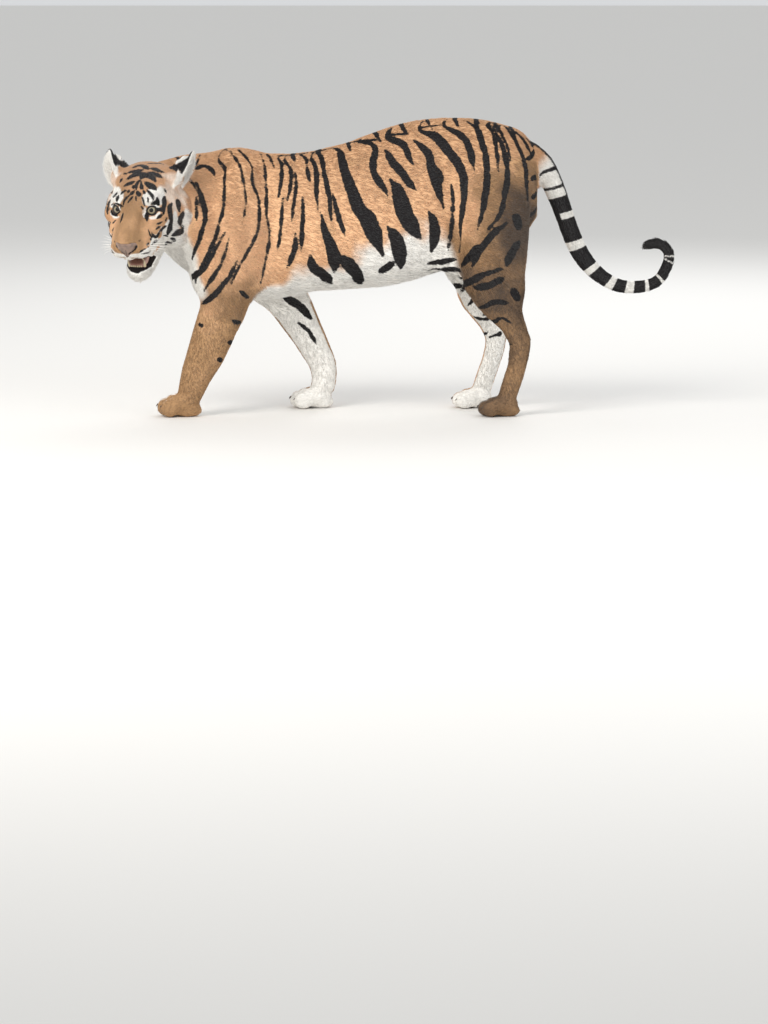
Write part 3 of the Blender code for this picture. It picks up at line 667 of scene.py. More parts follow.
def head_stroke(points, bolder=1.0, mirror=False):
    """Points as degrees round to her left, degrees up and a width in millimetres."""
    laid = [[*laid_on_head(-azimuth if mirror else azimuth, elevation), width * bolder]
            for azimuth, elevation, width in points]
    return stroke(laid, 0.75, 0.002, 6)


# %% The strokes of her body
# Her left side, from the neck to the rump: width in millimetres, then length and height in centimetres
NECK_STRIPES = (
    (16, (-64, 77.5), (-61.5, 70), (-61, 67), (-62.5, 60.5), (-65.5, 52.5)),
    (10, (-57, 84.5), (-54.5, 81.5), (-55, 71), (-56.5, 64), (-59, 56.5, 14), (-64.5, 44.5, 16)),
    (7, (-55.5, 88), (-50.5, 84.5), (-48.5, 78), (-47.5, 71), (-48.5, 64.5)),
    (9, (-50.5, 88), (-46.5, 84.5), (-45.5, 78), (-43.5, 72.5), (-43.5, 63), (-45.5, 57.5), (-49, 51.5),
     (-52.5, 44.5)),
    (8, (-43.5, 87), (-41.5, 82.5), (-41, 75.5), (-41, 67.5), (-40, 60.5), (-41, 52.5), (-42.5, 44)),
    (15, (-54.5, 61.5, 8), (-59, 53.5, 10), (-61.5, 49.5, 18), (-65.5, 42.5, 18)),
    (13, (-53, 59.5, 8), (-55.5, 51.5, 10), (-59, 46, 14), (-61.5, 42, 14)),
    (16, (-50, 52.5, 8), (-54, 45.5, 14), (-59, 40, 20), (-62.5, 37.5, 16)),
    (15, (-64.5, 85.3, 12), (-62.5, 83), (-59.7, 82.4), (-58.5, 81), (-57.8, 78.5, 8)),
    (6, (-66.4, 78.7), (-65, 77.2), (-63.4, 74)),
    (7, (-64, 73), (-63.9, 69), (-64, 65)),
    (10, (-74, 85.4), (-71, 86), (-68, 85.7), (-66, 84)),
)
TRUNK_STRIPES = (
    (8, (-41, 86.5), (-38.5, 82.5)),
    (10, (-37.5, 85.5), (-36, 83.5), (-36, 78), (-37, 73)),
    (10, (-35.5, 72.5), (-36, 65.5), (-36.5, 59.5), (-37.5, 55)),
    (10, (-35.5, 85), (-33, 82), (-33, 77), (-34, 72)),
    (10, (-31.5, 81), (-31, 76.5), (-32, 70.5), (-32.5, 65)),
    (19, (-31.5, 61.5, 10), (-31.5, 56), (-34, 49.5, 16)),
    (15, (-29, 73, 9), (-29, 65.5), (-29.5, 55, 12)),
    (10, (-30.5, 86.5), (-28, 85.5), (-27.5, 81), (-26.5, 78)),
    (15, (-26.5, 85.5, 10), (-24.5, 82), (-24.5, 76), (-24, 69, 9)),
    (15, (-25, 87.5, 10), (-23, 86), (-22, 81), (-20.5, 75), (-20, 69.5), (-19.5, 65, 10)),
    (15, (-19, 74, 9), (-17.5, 67.5), (-15.5, 62), (-15, 60, 10)),
    (34, (-23, 68, 12), (-21.5, 61.5, 22), (-19.5, 56.5, 36), (-18.5, 52, 46), (-18.5, 48, 26)),
    (34, (-26.5, 53.5, 20), (-25.5, 49.5), (-22, 46.5, 36), (-19.5, 43.5, 26)),
    (40, (-19.5, 89, 18), (-17, 88, 24), (-15.5, 82.5, 28), (-13.5, 77, 34), (-10.5, 69.5, 44), (-7, 65, 54),
     (-5, 59.5, 54), (-2.5, 53.5, 28)),
    (40, (-15.5, 52.5, 50), (-13, 49.5, 46), (-11, 46.5, 40), (-10, 43, 18)),
    (22, (-11, 90.5, 12), (-7, 90.5, 14), (-5, 88.5, 20), (-6, 84, 22), (-5, 79.5, 22), (-2, 76, 22),
     (-1, 73, 10)),
    (26, (-2, 88.5, 12), (0.5, 84.5), (4, 80.5), (6.5, 77), (8.5, 75, 12)),
    (23, (-1, 92), (4, 90.5), (5.5, 87), (7.5, 83.5, 12)),
    (48, (0, 78.5, 22), (2.5, 75, 40), (4, 69, 54), (6.5, 64, 50), (10, 59, 26)),
    (44, (-1, 63, 20), (1.5, 60, 40), (3, 55, 46), (3.5, 49, 30)),
    (26, (-3.5, 47.5), (1, 51)),
    (33, (12.5, 68, 14), (14.5, 64), (14.5, 59.5), (13.5, 54.5, 18)),
    (26, (7.5, 91.5, 14), (12.5, 87), (13.5, 81.5), (15.5, 76), (17.5, 69, 12)),
    (14, (12.5, 85), (16.5, 80.5), (16.5, 77)),
)
RUMP_STRIPES = (
    (30, (9.5, 94.5, 14), (14.5, 93, 30), (19, 88, 30), (23, 82.5, 28), (24, 79, 26), (24, 72.5, 22),
     (23, 65.5, 18), (22, 54.5, 12)),
    (10, (20, 77), (20.5, 72), (20, 63), (19, 55)),
    (22, (17.5, 96, 12), (23, 93.5), (25.5, 90), (27, 84.5), (27.5, 81.5, 10)),
    (20, (25, 97.5, 12), (28.5, 95.5), (30, 91), (31.5, 85), (31.5, 77.5), (30.5, 70.5), (28.5, 62.5, 12)),
    (13, (32, 96.5), (34, 93.5), (35, 87.5), (35.5, 81.5)),
    (17, (34, 95.5, 10), (37, 89.5), (38.5, 81.5), (37.5, 73.5), (36, 67.5), (31.5, 62)),
    (10, (35.5, 96), (38, 91), (39.5, 85)),
    (17, (37.5, 96, 10), (42, 90), (44.5, 83.5), (45, 77), (45.5, 68.5, 10)),
    (17, (38.5, 95.5, 10), (44, 91.5), (47, 86)),
    (14, (45, 92.5), (49, 87.5)),
)
LEG_STRIPES = (
    (22, (26, 49.5), (30.5, 57.5), (34, 61.5), (38, 64.5)),
    (22, (23, 50), (27, 55), (28.5, 57.5)),
    (26, (38, 50.5), (40, 55), (42.5, 58.5)),
    (22, (23.5, 39.5), (28.5, 46.5), (37, 49.5)),
    (22, (27.5, 43), (32.5, 44), (37.5, 46.5)),
    (24, (40, 42.5), (42.5, 39)),
    (30, (41, 67), (42.5, 63)),
    (16, (29, 36), (34, 38.5), (39, 38)),
    (14, (31, 31.5), (36, 33), (39.5, 31.5)),
    (10, (33, 24), (37, 25.5), (40, 24)),
)
INNER_STRIPES = (
    (18, (12.5, 50), (21.5, 52)),
    (16, (12.5, 47.5), (23, 48)),
    (16, (18.5, 43.5), (23.5, 44)),
    (26, (-35.5, 37.5), (-30.5, 35), (-26.5, 30.5)),
    (12, (-31, 29), (-27.5, 26.5), (-25, 22)),
    (12, (22, 33), (26, 35)),
    (10, (26, 25), (30, 27)),
)
FORELEG_MARKS = (
    (10, (-63.5, 31), (-62, 30.5)),
    (14, (-53.5, 25), (-51.5, 24)),
    (12, (-57, 19.5), (-55.5, 18.5)),
    (14, (-49.5, 42), (-46.5, 39.5)),
    (12, (-52, 32.5), (-49, 31)),
)
# Short bars across the back, which meet the stripes of both sides
BACK_BARS = (-0.33, -0.25, -0.155, -0.06, 0.03, 0.12, 0.21, 0.275, 0.335, 0.39)  # their lengths
THIGH_BARS = (0.86, 0.79, 0.72, 0.65, 0.58, 0.51, 0.44)  # their heights
SPINE_MARKS = (
    (9, (-37.5, 86.5), (-27.5, 87)),
    (9, (-26.5, 87.5), (-20.5, 89)),
    (10, (-14.5, 90), (-4, 91.5)),
    (10, (-1, 93), (6, 93.5)),
    (10, (10, 95.5), (17, 96.5)),
)


def bar(starts, way, width, fits=lambda hit: True):
    """A short stroke where rays from these starts meet her, or none if fewer than two of them fit."""
    hits = [skin_tree.ray_cast(start, Vector(way))[0] for start in starts]
    laid = [[*hit, width] for hit in hits if hit is not None and fits(hit)]
    return [stroke(laid)] if len(laid) > 1 else []


def side_strokes():
    """Her left side as listed. Her right side is alike, but never the same, and lacks some marks."""
    made = []
    for rows in (NECK_STRIPES, TRUNK_STRIPES, RUMP_STRIPES, LEG_STRIPES, INNER_STRIPES, FORELEG_MARKS,
                 SPINE_MARKS):
        for i, (width, *points) in enumerate(rows):
            made.append(side_stroke(width, points, -1))
            if rows is not SPINE_MARKS and rows is not INNER_STRIPES:
                shift = (0.015 if rows is NECK_STRIPES else -0.022) + 0.006 * math.sin(i * 2.4)
                made.append(side_stroke(width * (1 + 0.15 * math.sin(i * 1.7)), points, 1, shift))
    return made


def body_strokes():
    made = side_strokes()
    for i, x in enumerate(BACK_BARS):
        starts = [Vector((x + 0.25 * abs(across) + 0.006 * math.sin(i + 20 * across), SPINE_Y + across, 1.2))
                  for across in (-0.075, -0.03, 0.03, 0.075)]
        made += bar(starts, (0, 0, -1), 13 + 4 * math.sin(i * 2.1))
    # The backs of the thighs and the rump beside the tail, seen from behind
    for side in (-1, 1):
        for i, z in enumerate(THIGH_BARS):
            shift, height = 0.004 * math.sin(3 * i), z - 0.008 * math.cos(i)
            starts = [Vector((1.2, SPINE_Y + side * (out + shift), height + rise))
                      for out, rise in ((0.035, 0.030), (0.070, 0.006), (0.110, 0.0))]
            made += bar(starts, (-1, 0, 0), 15 + 4 * math.sin(i * 1.3 + side), lambda hit: hit.x < 0.52)
    # The insides of the legs carry short bars of their own
    for leg, side in (("forearm_left", 1), ("shank_left", 1), ("shank_right", -1)):
        low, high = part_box(leg)
        centre = (low + high) / 2
        for t in (0.25, 0.5, 0.75):
            z = low.z + t * (high.z - low.z)
            starts = [Vector((centre.x + dx, centre.y + side * 0.3, z + 0.3 * abs(dx)))
                      for dx in (-0.03, 0.0, 0.03)]
            made += bar(starts, (0, -side, 0), 9,
                        lambda hit: (hit.y - centre.y) * side > -0.01 and abs(hit.y - centre.y) < 0.12)
    return made


# %% The strokes of her face
# Degrees round to her left, degrees up, and millimetres wide, seen from the skull's middle
CROWN_MARKS = (
    ((-155, 62, 11), (-166, 59, 13), (-179, 60, 14), (167, 65, 15), (155, 67, 7)),
    ((154, 64, 8), (142, 60, 13), (133, 56, 11), (128, 51.5, 5)),
    ((-132, 69, 8), (-149, 72, 13), (-170, 74, 15), (170, 71, 6)),
    ((140, 71, 5), (127, 66, 10), (117, 60, 13), (114, 54, 6)),
    ((-90, 75, 6), (-107, 80, 15), (-148, 82, 17), (169, 81, 15), (138, 77, 16)),
    ((85, 82, 5), (119, 81, 15), (128, 77, 17), (115, 72, 15), (104, 66, 13), (95, 62, 8)),
    ((-121, 63, 6), (-123, 69, 5)),
    ((-87, 64, 6), (-98, 65, 9)),
    ((-58, 69, 5), (-49, 74, 10), (-31, 80, 10), (-2, 83, 5)),
    ((64, 82, 4), (30, 81, 8), (15, 76, 7), (15, 70, 4)),
    ((59, 80, 4), (48, 76, 5), (40, 70, 12)),
    ((-4, 74, 8), (6, 75, 8)),
    ((71, 74, 6), (71, 68, 15), (75, 62, 14), (76, 57, 10), (74, 54, 4)),
    ((-21, 66, 8), (-18, 68, 6)),
    ((-42, 57, 4), (-42, 62, 7), (-32, 67, 5)),
    ((-9, 63, 6), (-2, 65, 10), (5, 68, 5)),
    ((18, 65, 10), (24, 61, 11)),
    ((41, 64, 7), (41, 61, 7)),
    ((53, 63, 6), (54, 56, 8), (53, 49, 7), (50, 43, 5)),
    ((43, 52, 3), (40, 47, 5), (38, 43, 3)),
    ((29, 57, 4), (30, 51, 5), (30, 44, 5), (30, 41, 3)),
    ((1, 59, 6), (-4, 55, 5), (-8, 49, 4)),
    ((12, 59, 4), (12, 55, 5), (13, 51, 3)),
    ((-13, 61, 4), (-20, 55, 6), (-21, 49, 5), (-19, 44, 4)),
    ((134, 43, 8), (131, 39, 14), (129, 34, 16)),
    ((177, 51, 7), (164, 47, 8), (157, 41, 6)),
)
# Her right eye and temple
RIGHT_MARKS = (
    ((-104, 26, 8), (-99, 32, 9)),
    ((-50, 47, 6), (-54, 52, 8), (-60, 55, 4)),
    ((-38, 45, 6), (-40, 49, 9), (-43, 53, 5)),
    ((-59, 31, 4), (-41, 40, 6), (-36, 41, 6), (-26, 41, 6), (-18, 41, 4)),
    ((-53, 23, 6), (-49, 19, 7), (-38, 20, 8)),
    ((-12, 30, 9), (-11, 25, 9), (-11, 20, 8)),
    ((-36, 10, 7), (-35, 13, 5)),
    ((-72, -8, 5), (-68, -12, 6)),
    ((-28, 3, 9), (-25, 6, 8)),
)
# The marks of both cheeks, as they are on her left
CHEEK_MARKS = (
    ((42, 40, 4), (47, 40, 8), (50, 39, 13), (55, 38, 15)),
    ((61, 44, 5), (58, 41, 12), (58, 37, 15)),
    ((53, 28, 7), (56, 26, 11), (59, 24, 13)),
    ((47, 14, 5), (50, 16, 10), (53, 18, 9), (54, 17, 4)),
    ((83, 37, 9), (77, 34, 14), (70, 30, 12), (63, 26, 10), (58, 21, 8), (56, 18, 5)),
    ((83, 22, 7), (74, 21, 17), (70, 17, 21), (67, 11, 20), (68, 1, 15), (64, -6, 12), (62, -12, 15),
     (59, -18, 12), (58, -26, 6)),
    ((95, 18, 16), (94, 14, 24), (91, 11, 19), (88, 7, 11), (89, 3, 7)),
    ((96, -4, 13), (92, -7, 24), (85, -8, 22), (86, -13, 22), (90, -22, 12)),
    ((95, -33, 9), (88, -32, 20), (73, -26, 24), (67, -27, 20)),
    ((94, -27, 12), (94, -31, 12)),
    ((67, -35, 9), (72, -42, 15), (75, -43, 7)),
    ((73, -50, 7), (73, -58, 14)),
    ((58, 11, 4), (57, 8, 6), (56, 6, 4)),
    ((92, 46, 5), (92, 42, 8), (92, 39, 5)),
    ((41, 8, 4), (46, 6, 6), (51, 6, 4)),
    ((37, 3, 4), (40, 3, 6), (45, 2, 4)),
    ((42, -2, 6), (47, -5, 10), (56, -6, 9)),
    ((41, -2, 7), (38, -5, 10), (34, -7, 10), (30, -3, 7), (29, 1, 3)),
    ((25, 6, 4), (26, 2, 6), (27, -1, 5), (28, -4, 6)),
    ((26, -4, 6), (27, -6, 5)),
    ((32, 30, 6), (30, 27, 12), (29, 23, 14), (28, 20, 12), (27, 17, 9), (25, 13, 4)),
    ((23, 42, 4), (24, 39, 5), (25, 36, 3)),
    ((21, -6, 6), (23, -6, 5)),
    ((28, -10, 3), (35, -13, 3)),
    ((55, -28, 11), (59, -31, 10)),
    # This stroke is a painted shadow, cast by the whiskers along the line of the lip, on both cheeks
    ((26, -11, 3), (31, -14, 5), (38, -18, 4)),
    ((21, -8, 4), (22, -9, 4)),
    ((13, -9, 3), (16, -8, 5), (19, -8, 3)),
    ((14, -11, 3), (18, -12, 4), (22, -15, 4)),
    ((14, 1, 4), (15, 1, 4)),
)
# White of the face: brows, arcs over and under the eye, cheeks, lips and chin
FACE_WHITE = (
    ((39, 58, 10), (38, 48, 22), (39, 42, 15)),
    ((58, 60, 9), (64, 52, 28), (62, 42, 34), (64, 34, 10)),
    ((82, 53, 8), (80, 47, 20), (75, 41, 26)),
    ((46, 58, 10), (48, 48, 18), (50, 42, 12)),
    ((40, 38, 5), (48, 37, 9), (56, 32, 6), (59, 28, 5)),
    ((47, -1, 4), (39, -3, 4), (34, -5, 4), (31, -2, 3)),
    ((32, 18, 5), (40, 16, 6), (46, 15, 6), (50, 19, 8), (53, 22, 5)),
    ((29, 38, 6), (25, 30, 7), (22, 23, 7)),
    ((78, 6, 16), (75, -5, 20), (73, -13, 28), (77, -18, 20)),
    ((101, -4, 16), (101, -15, 34), (102, -27, 44), (98, -38, 50), (84, -44, 39), (78, -54, 20)),
    ((49, -13, 20), (47, -17, 22), (55, -30, 26), (62, -36, 30)),
    ((61, 2, 14), (59, -4, 12), (59, -12, 8)),
    ((30, -16, 22), (36, -24, 26), (42, -34, 28), (48, -46, 30)),
    ((60, -14, 24), (66, -20, 30), (80, -12, 26), (92, -16, 30)),
    ((32, -11, 20), (28, -12, 24), (26, -15, 26)),
    ((62, -34, 34), (78, -55, 30), (70, -66, 30)),
    ((0, -12, 8), (4, -12, 10), (10, -13, 15), (16, -15, 20), (22, -18, 22)),
    ((0, -15, 12), (3, -18, 12), (11, -21, 14), (20, -24, 20), (34, -24, 22), (46, -24, 24)),
    ((14, -10, 6), (19, -10, 8), (23, -12, 12)),
    ((26, -62, 30), (40, -50, 30), (54, -44, 34)),
    ((36, -19, 16), (46, -21, 20), (56, -22, 22)),
)
# Cream, half way to white, round the temples and in front of the ears
FACE_CREAM = (
    ((88, 50, 26), (92, 40, 34), (90, 28, 34), (84, 16, 26), (80, 6, 20)),
    ((106, 44, 26), (107, 30, 34), (105, 18, 30), (104, 4, 24)),
    ((120, 52, 20), (118, 30, 40), (116, 10, 30)),
)


CROWN_BOLDER, CHEEK_BOLDER, COPY_BOLDER = 1.5, 1.28, 1.1  # black looks thinner between tufts than on skin
LEFT_ONLY = (0, 1, 2, 3, 12, 20)  # marks round her left eye, whose fellows are among those of her right eye


def face_strokes():
    """All the marks, of which the right cheek's copies sit a little lower and farther back."""
    made = [head_stroke(points, CROWN_BOLDER) for points in CROWN_MARKS]
    made += [head_stroke(points, CHEEK_BOLDER) for points in RIGHT_MARKS + CHEEK_MARKS]
    for i, points in enumerate(CHEEK_MARKS):
        if i not in LEFT_ONLY:
            back, lower = 1.5 * math.sin(i), math.cos(2 * i) - 1
            moved = [(turn + back, up + lower, width) for turn, up, width in points]
            made.append(head_stroke(moved, COPY_BOLDER, mirror=True))
    return made


def face_field(rows, bolder):
    """Distance outside the strokes of these rows, laid on both sides of the face."""
    return distance_to([head_stroke(points, bolder, mirror) for points in rows for mirror in (False, True)])


FINE_EDGE = 0.0018


def refine_along(strokes, reach, from_eyes):
    """Halves the skin's edges where a mark ends, so that the thinnest marks of the face stay whole."""
    global skin_tree, SKIN_PLACES, SKIN_NORMALS
    to_eye = np.min([np.linalg.norm(SKIN_PLACES - np.array(eye), axis=1) for eye in EYES.values()], axis=0)
    gap = np.where(to_eye < from_eyes, np.abs(distance_to(strokes)), 1.0)

    def wanted(edge):
        return edge.calc_length() > FINE_EDGE and min(gap[v.index] for v in edge.verts) < reach

    halve_edges(skin.data, wanted)
    skin_tree = surface_tree(skin.data)
    SKIN_PLACES, SKIN_NORMALS = coordinates(skin.data), normals_of(skin.data)


refine_along(face_strokes(), 0.0040, from_eyes=0.5)
refine_along(face_strokes(), 0.0020, from_eyes=0.055)
stripes = body_strokes() + face_strokes()
print("stripes:", len(stripes), "strokes")

# %% [markdown]
# ## What each skin point knows
#
# Colours, hair length and lie are worked out once for every skin point and stored as attributes. The skin and
# the hairs read the same ones, so the markings run through the coat as they do on her.

# %% Which solid each point came from
def nearest_nodes(places):
    bm, owners = bmesh.new(), []
    for i, node in enumerate(FLESH):
        add_node(bm, node, 0)
        owners += [i] * (len(bm.faces) - len(owners))
    bm.faces.ensure_lookup_table()
    tree = BVHTree.FromBMesh(bm)
    bm.free()
    return np.array([owners[tree.find_nearest(Vector(p))[2]] for p in places])


OWNER = nearest_nodes(SKIN_PLACES)
EDGES = edges_of(skin.data)
X, Y, Z = SKIN_PLACES.T
SIDE = np.sign(Y - SPINE_Y)
TO_HEAD = np.array(HEAD.inverted())


def head_places(places):
    return places @ TO_HEAD[:3, :3].T + TO_HEAD[:3, 3]


HEAD_PLACES, HEAD_NORMALS = head_places(SKIN_PLACES), SKIN_NORMALS @ TO_HEAD[:3, :3].T
HEAD_A, HEAD_L, HEAD_B = HEAD_PLACES.T


def of_nodes(*starts):
    """One on the solids whose names start like this, and nothing on the others."""
    chosen = [i for i, node in enumerate(FLESH) if node.startswith(starts)]
    return np.isin(OWNER, chosen).astype(float)


ON_HEAD = of_nodes("head", "nose", "lower_jaw", "ear")
ON_JAW, ON_EAR, ON_NECK = of_nodes("lower_jaw"), of_nodes("ear"), of_nodes("neck")
ON_TAIL, ON_PAW = of_nodes("tail"), of_nodes("forepaw", "hindpaw")
ON_FORE, ON_HIND = of_nodes("forearm", "forepaw"), of_nodes("shank", "metatarsus", "hindpaw")
ON_LIMB = np.clip(ON_FORE + ON_HIND, 0, 1)

# %% How far along the tail
nearest_step = np.zeros(len(SKIN_PLACES), int)
tail_points = np.nonzero(ON_TAIL)[0]
gaps = np.linalg.norm(SKIN_PLACES[tail_points, None] - TAIL_PLACES[None], axis=2)
nearest_step[tail_points] = gaps.argmin(axis=1)
beyond = SKIN_PLACES - TAIL_PLACES[nearest_step]
TAIL_AT = nearest_step * TAIL_STEP + np.einsum("ij,ij->i", beyond, TAIL_WAYS[nearest_step])
tail_up = np.cross(TAIL_WAYS[nearest_step], (0, 1, 0))
TAIL_TOP = np.einsum("ij,ij->i", SKIN_NORMALS, tail_up / np.linalg.norm(tail_up, axis=1)[:, None])
print("points on the tail:", len(tail_points), " on the head:", int(ON_HEAD.sum()))

# %% [markdown]
# The tail is banded black and cream. The bands widen, then close up towards a black tip; the first two are
# thin and slant. Along the top of the root a black strip joins them, and on the underside two bands join.

# %% Tail bands
TAIL_BANDS = (
    (0.130, 0.142), (0.194, 0.204), (0.234, 0.288), (0.310, 0.390), (0.420, 0.492), (0.514, 0.572),
    (0.596, 0.634), (0.662, 0.699), (0.712, 0.752), (0.762, 0.819), (0.825, 0.837), (0.843, 0.990),
)


def tail_bands():
    at = TAIL_AT - 0.010 * TAIL_TOP * smoothstep(0.24, 0.12, TAIL_AT) - 0.003 * TAIL_TOP
    gap = np.min([np.abs(at - (a + b) / 2) - (b - a) / 2 for a, b in TAIL_BANDS], axis=0)
    strip = (0.90 - TAIL_TOP) * 0.030
    gap = np.where(TAIL_AT < 0.25, np.minimum(gap, strip), gap)
    joined = (0.5 + TAIL_TOP) * 0.03
    return np.where((TAIL_AT > 0.26) & (TAIL_AT < 0.35), np.minimum(gap, joined), gap)


# %% Ears: white within, black behind with a white spot
EARS = (  # node, side, degrees to which the ear opens, and its base and tip in the head's frame
    ("ear_left", 1, -6, (-0.146, 0.090, 0.030), (-0.206, 0.164, 0.090)),
    ("ear_right", -1, 66, (-0.146, -0.090, 0.030), (-0.196, -0.148, 0.100)),
)
EAR_SPOT, EAR_SPOT_HEIGHT = 0.017, 0.60


def ear_values():
    """Less than nothing on the black of the backs, how white the insides are, and how high up the ear."""
    count = len(SKIN_PLACES)
    black, white, height = np.full(count, NO_MARK), np.zeros(count), np.full(count, 2.0)
    for name, side, opening, base, tip in EARS:
        turn = math.radians(opening)
        here = of_nodes(name) > 0
        front = HEAD_NORMALS @ np.array((math.sin(turn), side * math.cos(turn), 0.0))
        stem, from_base = np.array(tip) - np.array(base), HEAD_PLACES - np.array(base)
        up = from_base @ stem / (stem @ stem)
        spot = EAR_SPOT - np.linalg.norm(from_base - EAR_SPOT_HEIGHT * stem, axis=1)
        back = np.maximum((front - 0.15) * 0.02, np.where(front < 0, spot, -1))
        back = np.maximum(back, (0.30 - up) * 0.05)
        black, height = np.where(here, back, black), np.where(here & (front > 0.1), up, height)
        white = np.where(here, np.maximum(smoothstep(-0.6, -0.1, front), spot > 0), white)
    return black, white, height


# %% How near the eyes
eye_gap, around_eye = np.full(len(SKIN_PLACES), 9.0), np.full(len(SKIN_PLACES), 90.0)
for side, eye in EYES.items():
    away = SKIN_PLACES - np.array(eye)
    far = np.linalg.norm(away, axis=1)
    eye_gap = np.minimum(eye_gap, far)
    degrees = outside_opening(side, away / far[:, None])
    around_eye = np.minimum(around_eye, np.where(far < EYE_RADIUS * 3, degrees, 90))


# %% Stripes and white
def wobble(scale, seed):
    """A slow noise over the skin, from minus one to one."""
    shift = Vector((seed, 2 * seed, 3 * seed))
    return np.array([noise.noise(Vector(p) * scale + shift) for p in SKIN_PLACES]) * 1.6


# The edges of her stripes are ragged, less so on the head, and the body's stripes are a little bolder
stripe = distance_to(stripes) - np.where(ON_HEAD > 0, 0, 0.0012)
stripe += np.where(ON_HEAD > 0, 0.0007, 0.0022) * wobble(38, 1)
stripe += np.where(ON_HEAD > 0, 0.0005, 0.0014) * wobble(120, 5)
stripe = np.where(ON_EAR > 0, NO_MARK, stripe)
ear_black, ear_white, ear_up = ear_values()
stripe = np.where(ON_TAIL > 0, tail_bands(), np.minimum(stripe, ear_black))

# Where the orange of her sides ends, as length and height
WHITE_EDGE = (
    (-0.72, 0.70), (-0.66, 0.58), (-0.61, 0.42), (-0.575, 0.31), (-0.545, 0.28), (-0.42, 0.28), (-0.37, 0.41),
    (-0.30, 0.49), (-0.15, 0.49), (-0.05, 0.57), (0.05, 0.595), (0.12, 0.62), (0.18, 0.59), (0.24, 0.42),
    (0.30, 0.20), (0.50, 0.20),
)
edge = np.interp(X, *zip(*WHITE_EDGE)) + 0.012 * np.sin(X * 41) + 0.008 * np.sin(X * 97 + 1)
# Her head is turned to the left, so the white of her throat stays lower on the right of the neck
edge = edge - 0.17 * smoothstep(0.0, 0.05, Y - SPINE_Y) * smoothstep(-0.55, -0.61, X)
white = smoothstep(0.080, -0.060, Z - edge + 0.03 * wobble(14, 9) + 0.012 * wobble(60, 4))
# The belly and the insides of the legs are white too, and the paws are a little paler than the legs
facing_in = -SKIN_NORMALS[:, 1] * SIDE
inner = smoothstep(0.15, 0.6, facing_in + 0.25 * smoothstep(0.3, 0.05, Z))
belly = smoothstep(-0.45, -0.8, SKIN_NORMALS[:, 2]) * (X > -0.7) * (X < 0.3)
inner = np.clip(relaxed(inner, EDGES, 30) + 0.16 * ON_PAW, 0, 1)
inner = smoothstep(0.30, 0.80, inner + 0.10 * wobble(60, 3))
# Her elbows are orange outside, the right one up to where the arm leaves the chest
elbow = of_nodes("upper_arm") * smoothstep(0.42, 0.36, Z)
right_elbow = smoothstep(0.11, 0.08, np.abs(X + 0.36)) * (Y - SPINE_Y > 0.07) * smoothstep(0.48, 0.43, Z)
elbow = np.maximum(elbow, right_elbow) * smoothstep(0.3, -0.2, facing_in)
white = np.maximum(white, belly) * (1 - elbow)
white = relaxed(np.maximum(white, inner * smoothstep(0.64, 0.54, Z)), EDGES, 12)
white = np.where(ON_LIMB > 0, inner, white)
white = np.where(ON_TAIL > 0, 0.9 * smoothstep(0.06, 0.14, TAIL_AT), white)
white_face = smoothstep(0.004, -0.003, face_field(FACE_WHITE, 1.45) + 0.002 * wobble(90, 2))
cream = 0.58 * smoothstep(0.016, -0.012, face_field(FACE_CREAM, 1.2))
white_face = np.maximum(white_face, cream)
RIM_DEGREES, DEGREE = 13, 0.00035  # how wide the black rims are, and how long a degree is on the lids
rim_black = (around_eye - RIM_DEGREES) * DEGREE + np.maximum(eye_gap - 1.3 * EYE_RADIUS, 0)
stripe = np.where(ON_HEAD > 0, np.minimum(stripe, rim_black), stripe)
chin = ON_JAW * smoothstep(-0.10, -0.14, HEAD_B)
chin = np.maximum(chin, smoothstep(-0.125, -0.16, HEAD_B) * (HEAD_A < 0.02))
white = np.where(ON_HEAD > 0, np.maximum(white_face, chin), white)
white = np.where(ON_EAR > 0, ear_white, white)


# The black back of each ear reaches down to the crown, and carries a white crescent
def beside(points, radius):
    """Distance, in the head's frame, outside a chain of straight rods."""
    near = np.full(len(SKIN_PLACES), 1.0)
    for a, b in zip(np.array(points[:-1]), np.array(points[1:])):
        t = np.clip((HEAD_PLACES - a) @ (b - a) / ((b - a) @ (b - a)), 0, 1)
        near = np.minimum(near, np.linalg.norm(HEAD_PLACES - a - t[:, None] * (b - a), axis=1))
    return near - radius


for ear_back, crescent in (
    (((-0.152, 0.094, 0.063), (-0.160, 0.112, 0.062), (-0.172, 0.132, 0.070)),
     ((-0.158, 0.106, 0.082), (-0.166, 0.123, 0.089), (-0.176, 0.141, 0.094))),
    (((-0.154, -0.072, 0.064), (-0.160, -0.086, 0.070), (-0.176, -0.106, 0.084)),
     ((-0.168, -0.090, 0.082), (-0.180, -0.106, 0.096), (-0.188, -0.118, 0.106))),
):
    stripe = np.minimum(stripe, beside(ear_back, 0.014))
    spot = beside(crescent, 0.007)
    stripe, white = np.maximum(stripe, -spot), np.maximum(white, smoothstep(0.001, -0.001, spot))
white = relaxed(white, EDGES, 2)

# %% Mud, and the bare skin of lips and mouth
# A value below about half gives the brown of legs and nose, and a higher one gives mud
on_left = smoothstep(0.02, -0.06, Y - SPINE_Y)
mud = smoothstep(0.22, 0.42, X) * smoothstep(0.94, 0.66, Z + 0.06 * wobble(16, 7)) * on_left * (1 - ON_TAIL)
mud = mud * (1 - 0.35 * smoothstep(0.60, 0.40, Z))
mud = np.maximum(mud, 0.78 * ON_HIND * on_left)
mud = np.maximum(mud, 0.74 * of_nodes("thigh") * smoothstep(0.74, 0.46, Z) * on_left)
mud = np.maximum(mud, 0.30 * ON_HIND)
mud = relaxed(np.clip(mud, 0, 1), EDGES, 40) * (1 - 0.9 * ON_TAIL)
# The bridge of the nose is painted browner than the body, and the front of the face a little browner
bridge = ON_HEAD * (1 - ON_EAR) * smoothstep(0.075, 0.040, np.abs(HEAD_L)) * smoothstep(-0.06, 0.02, HEAD_A)
mud = np.maximum(mud, 0.42 * relaxed(bridge, EDGES, 10))
front_of_face = ON_HEAD * (1 - ON_EAR) * smoothstep(-0.10, -0.01, HEAD_A)
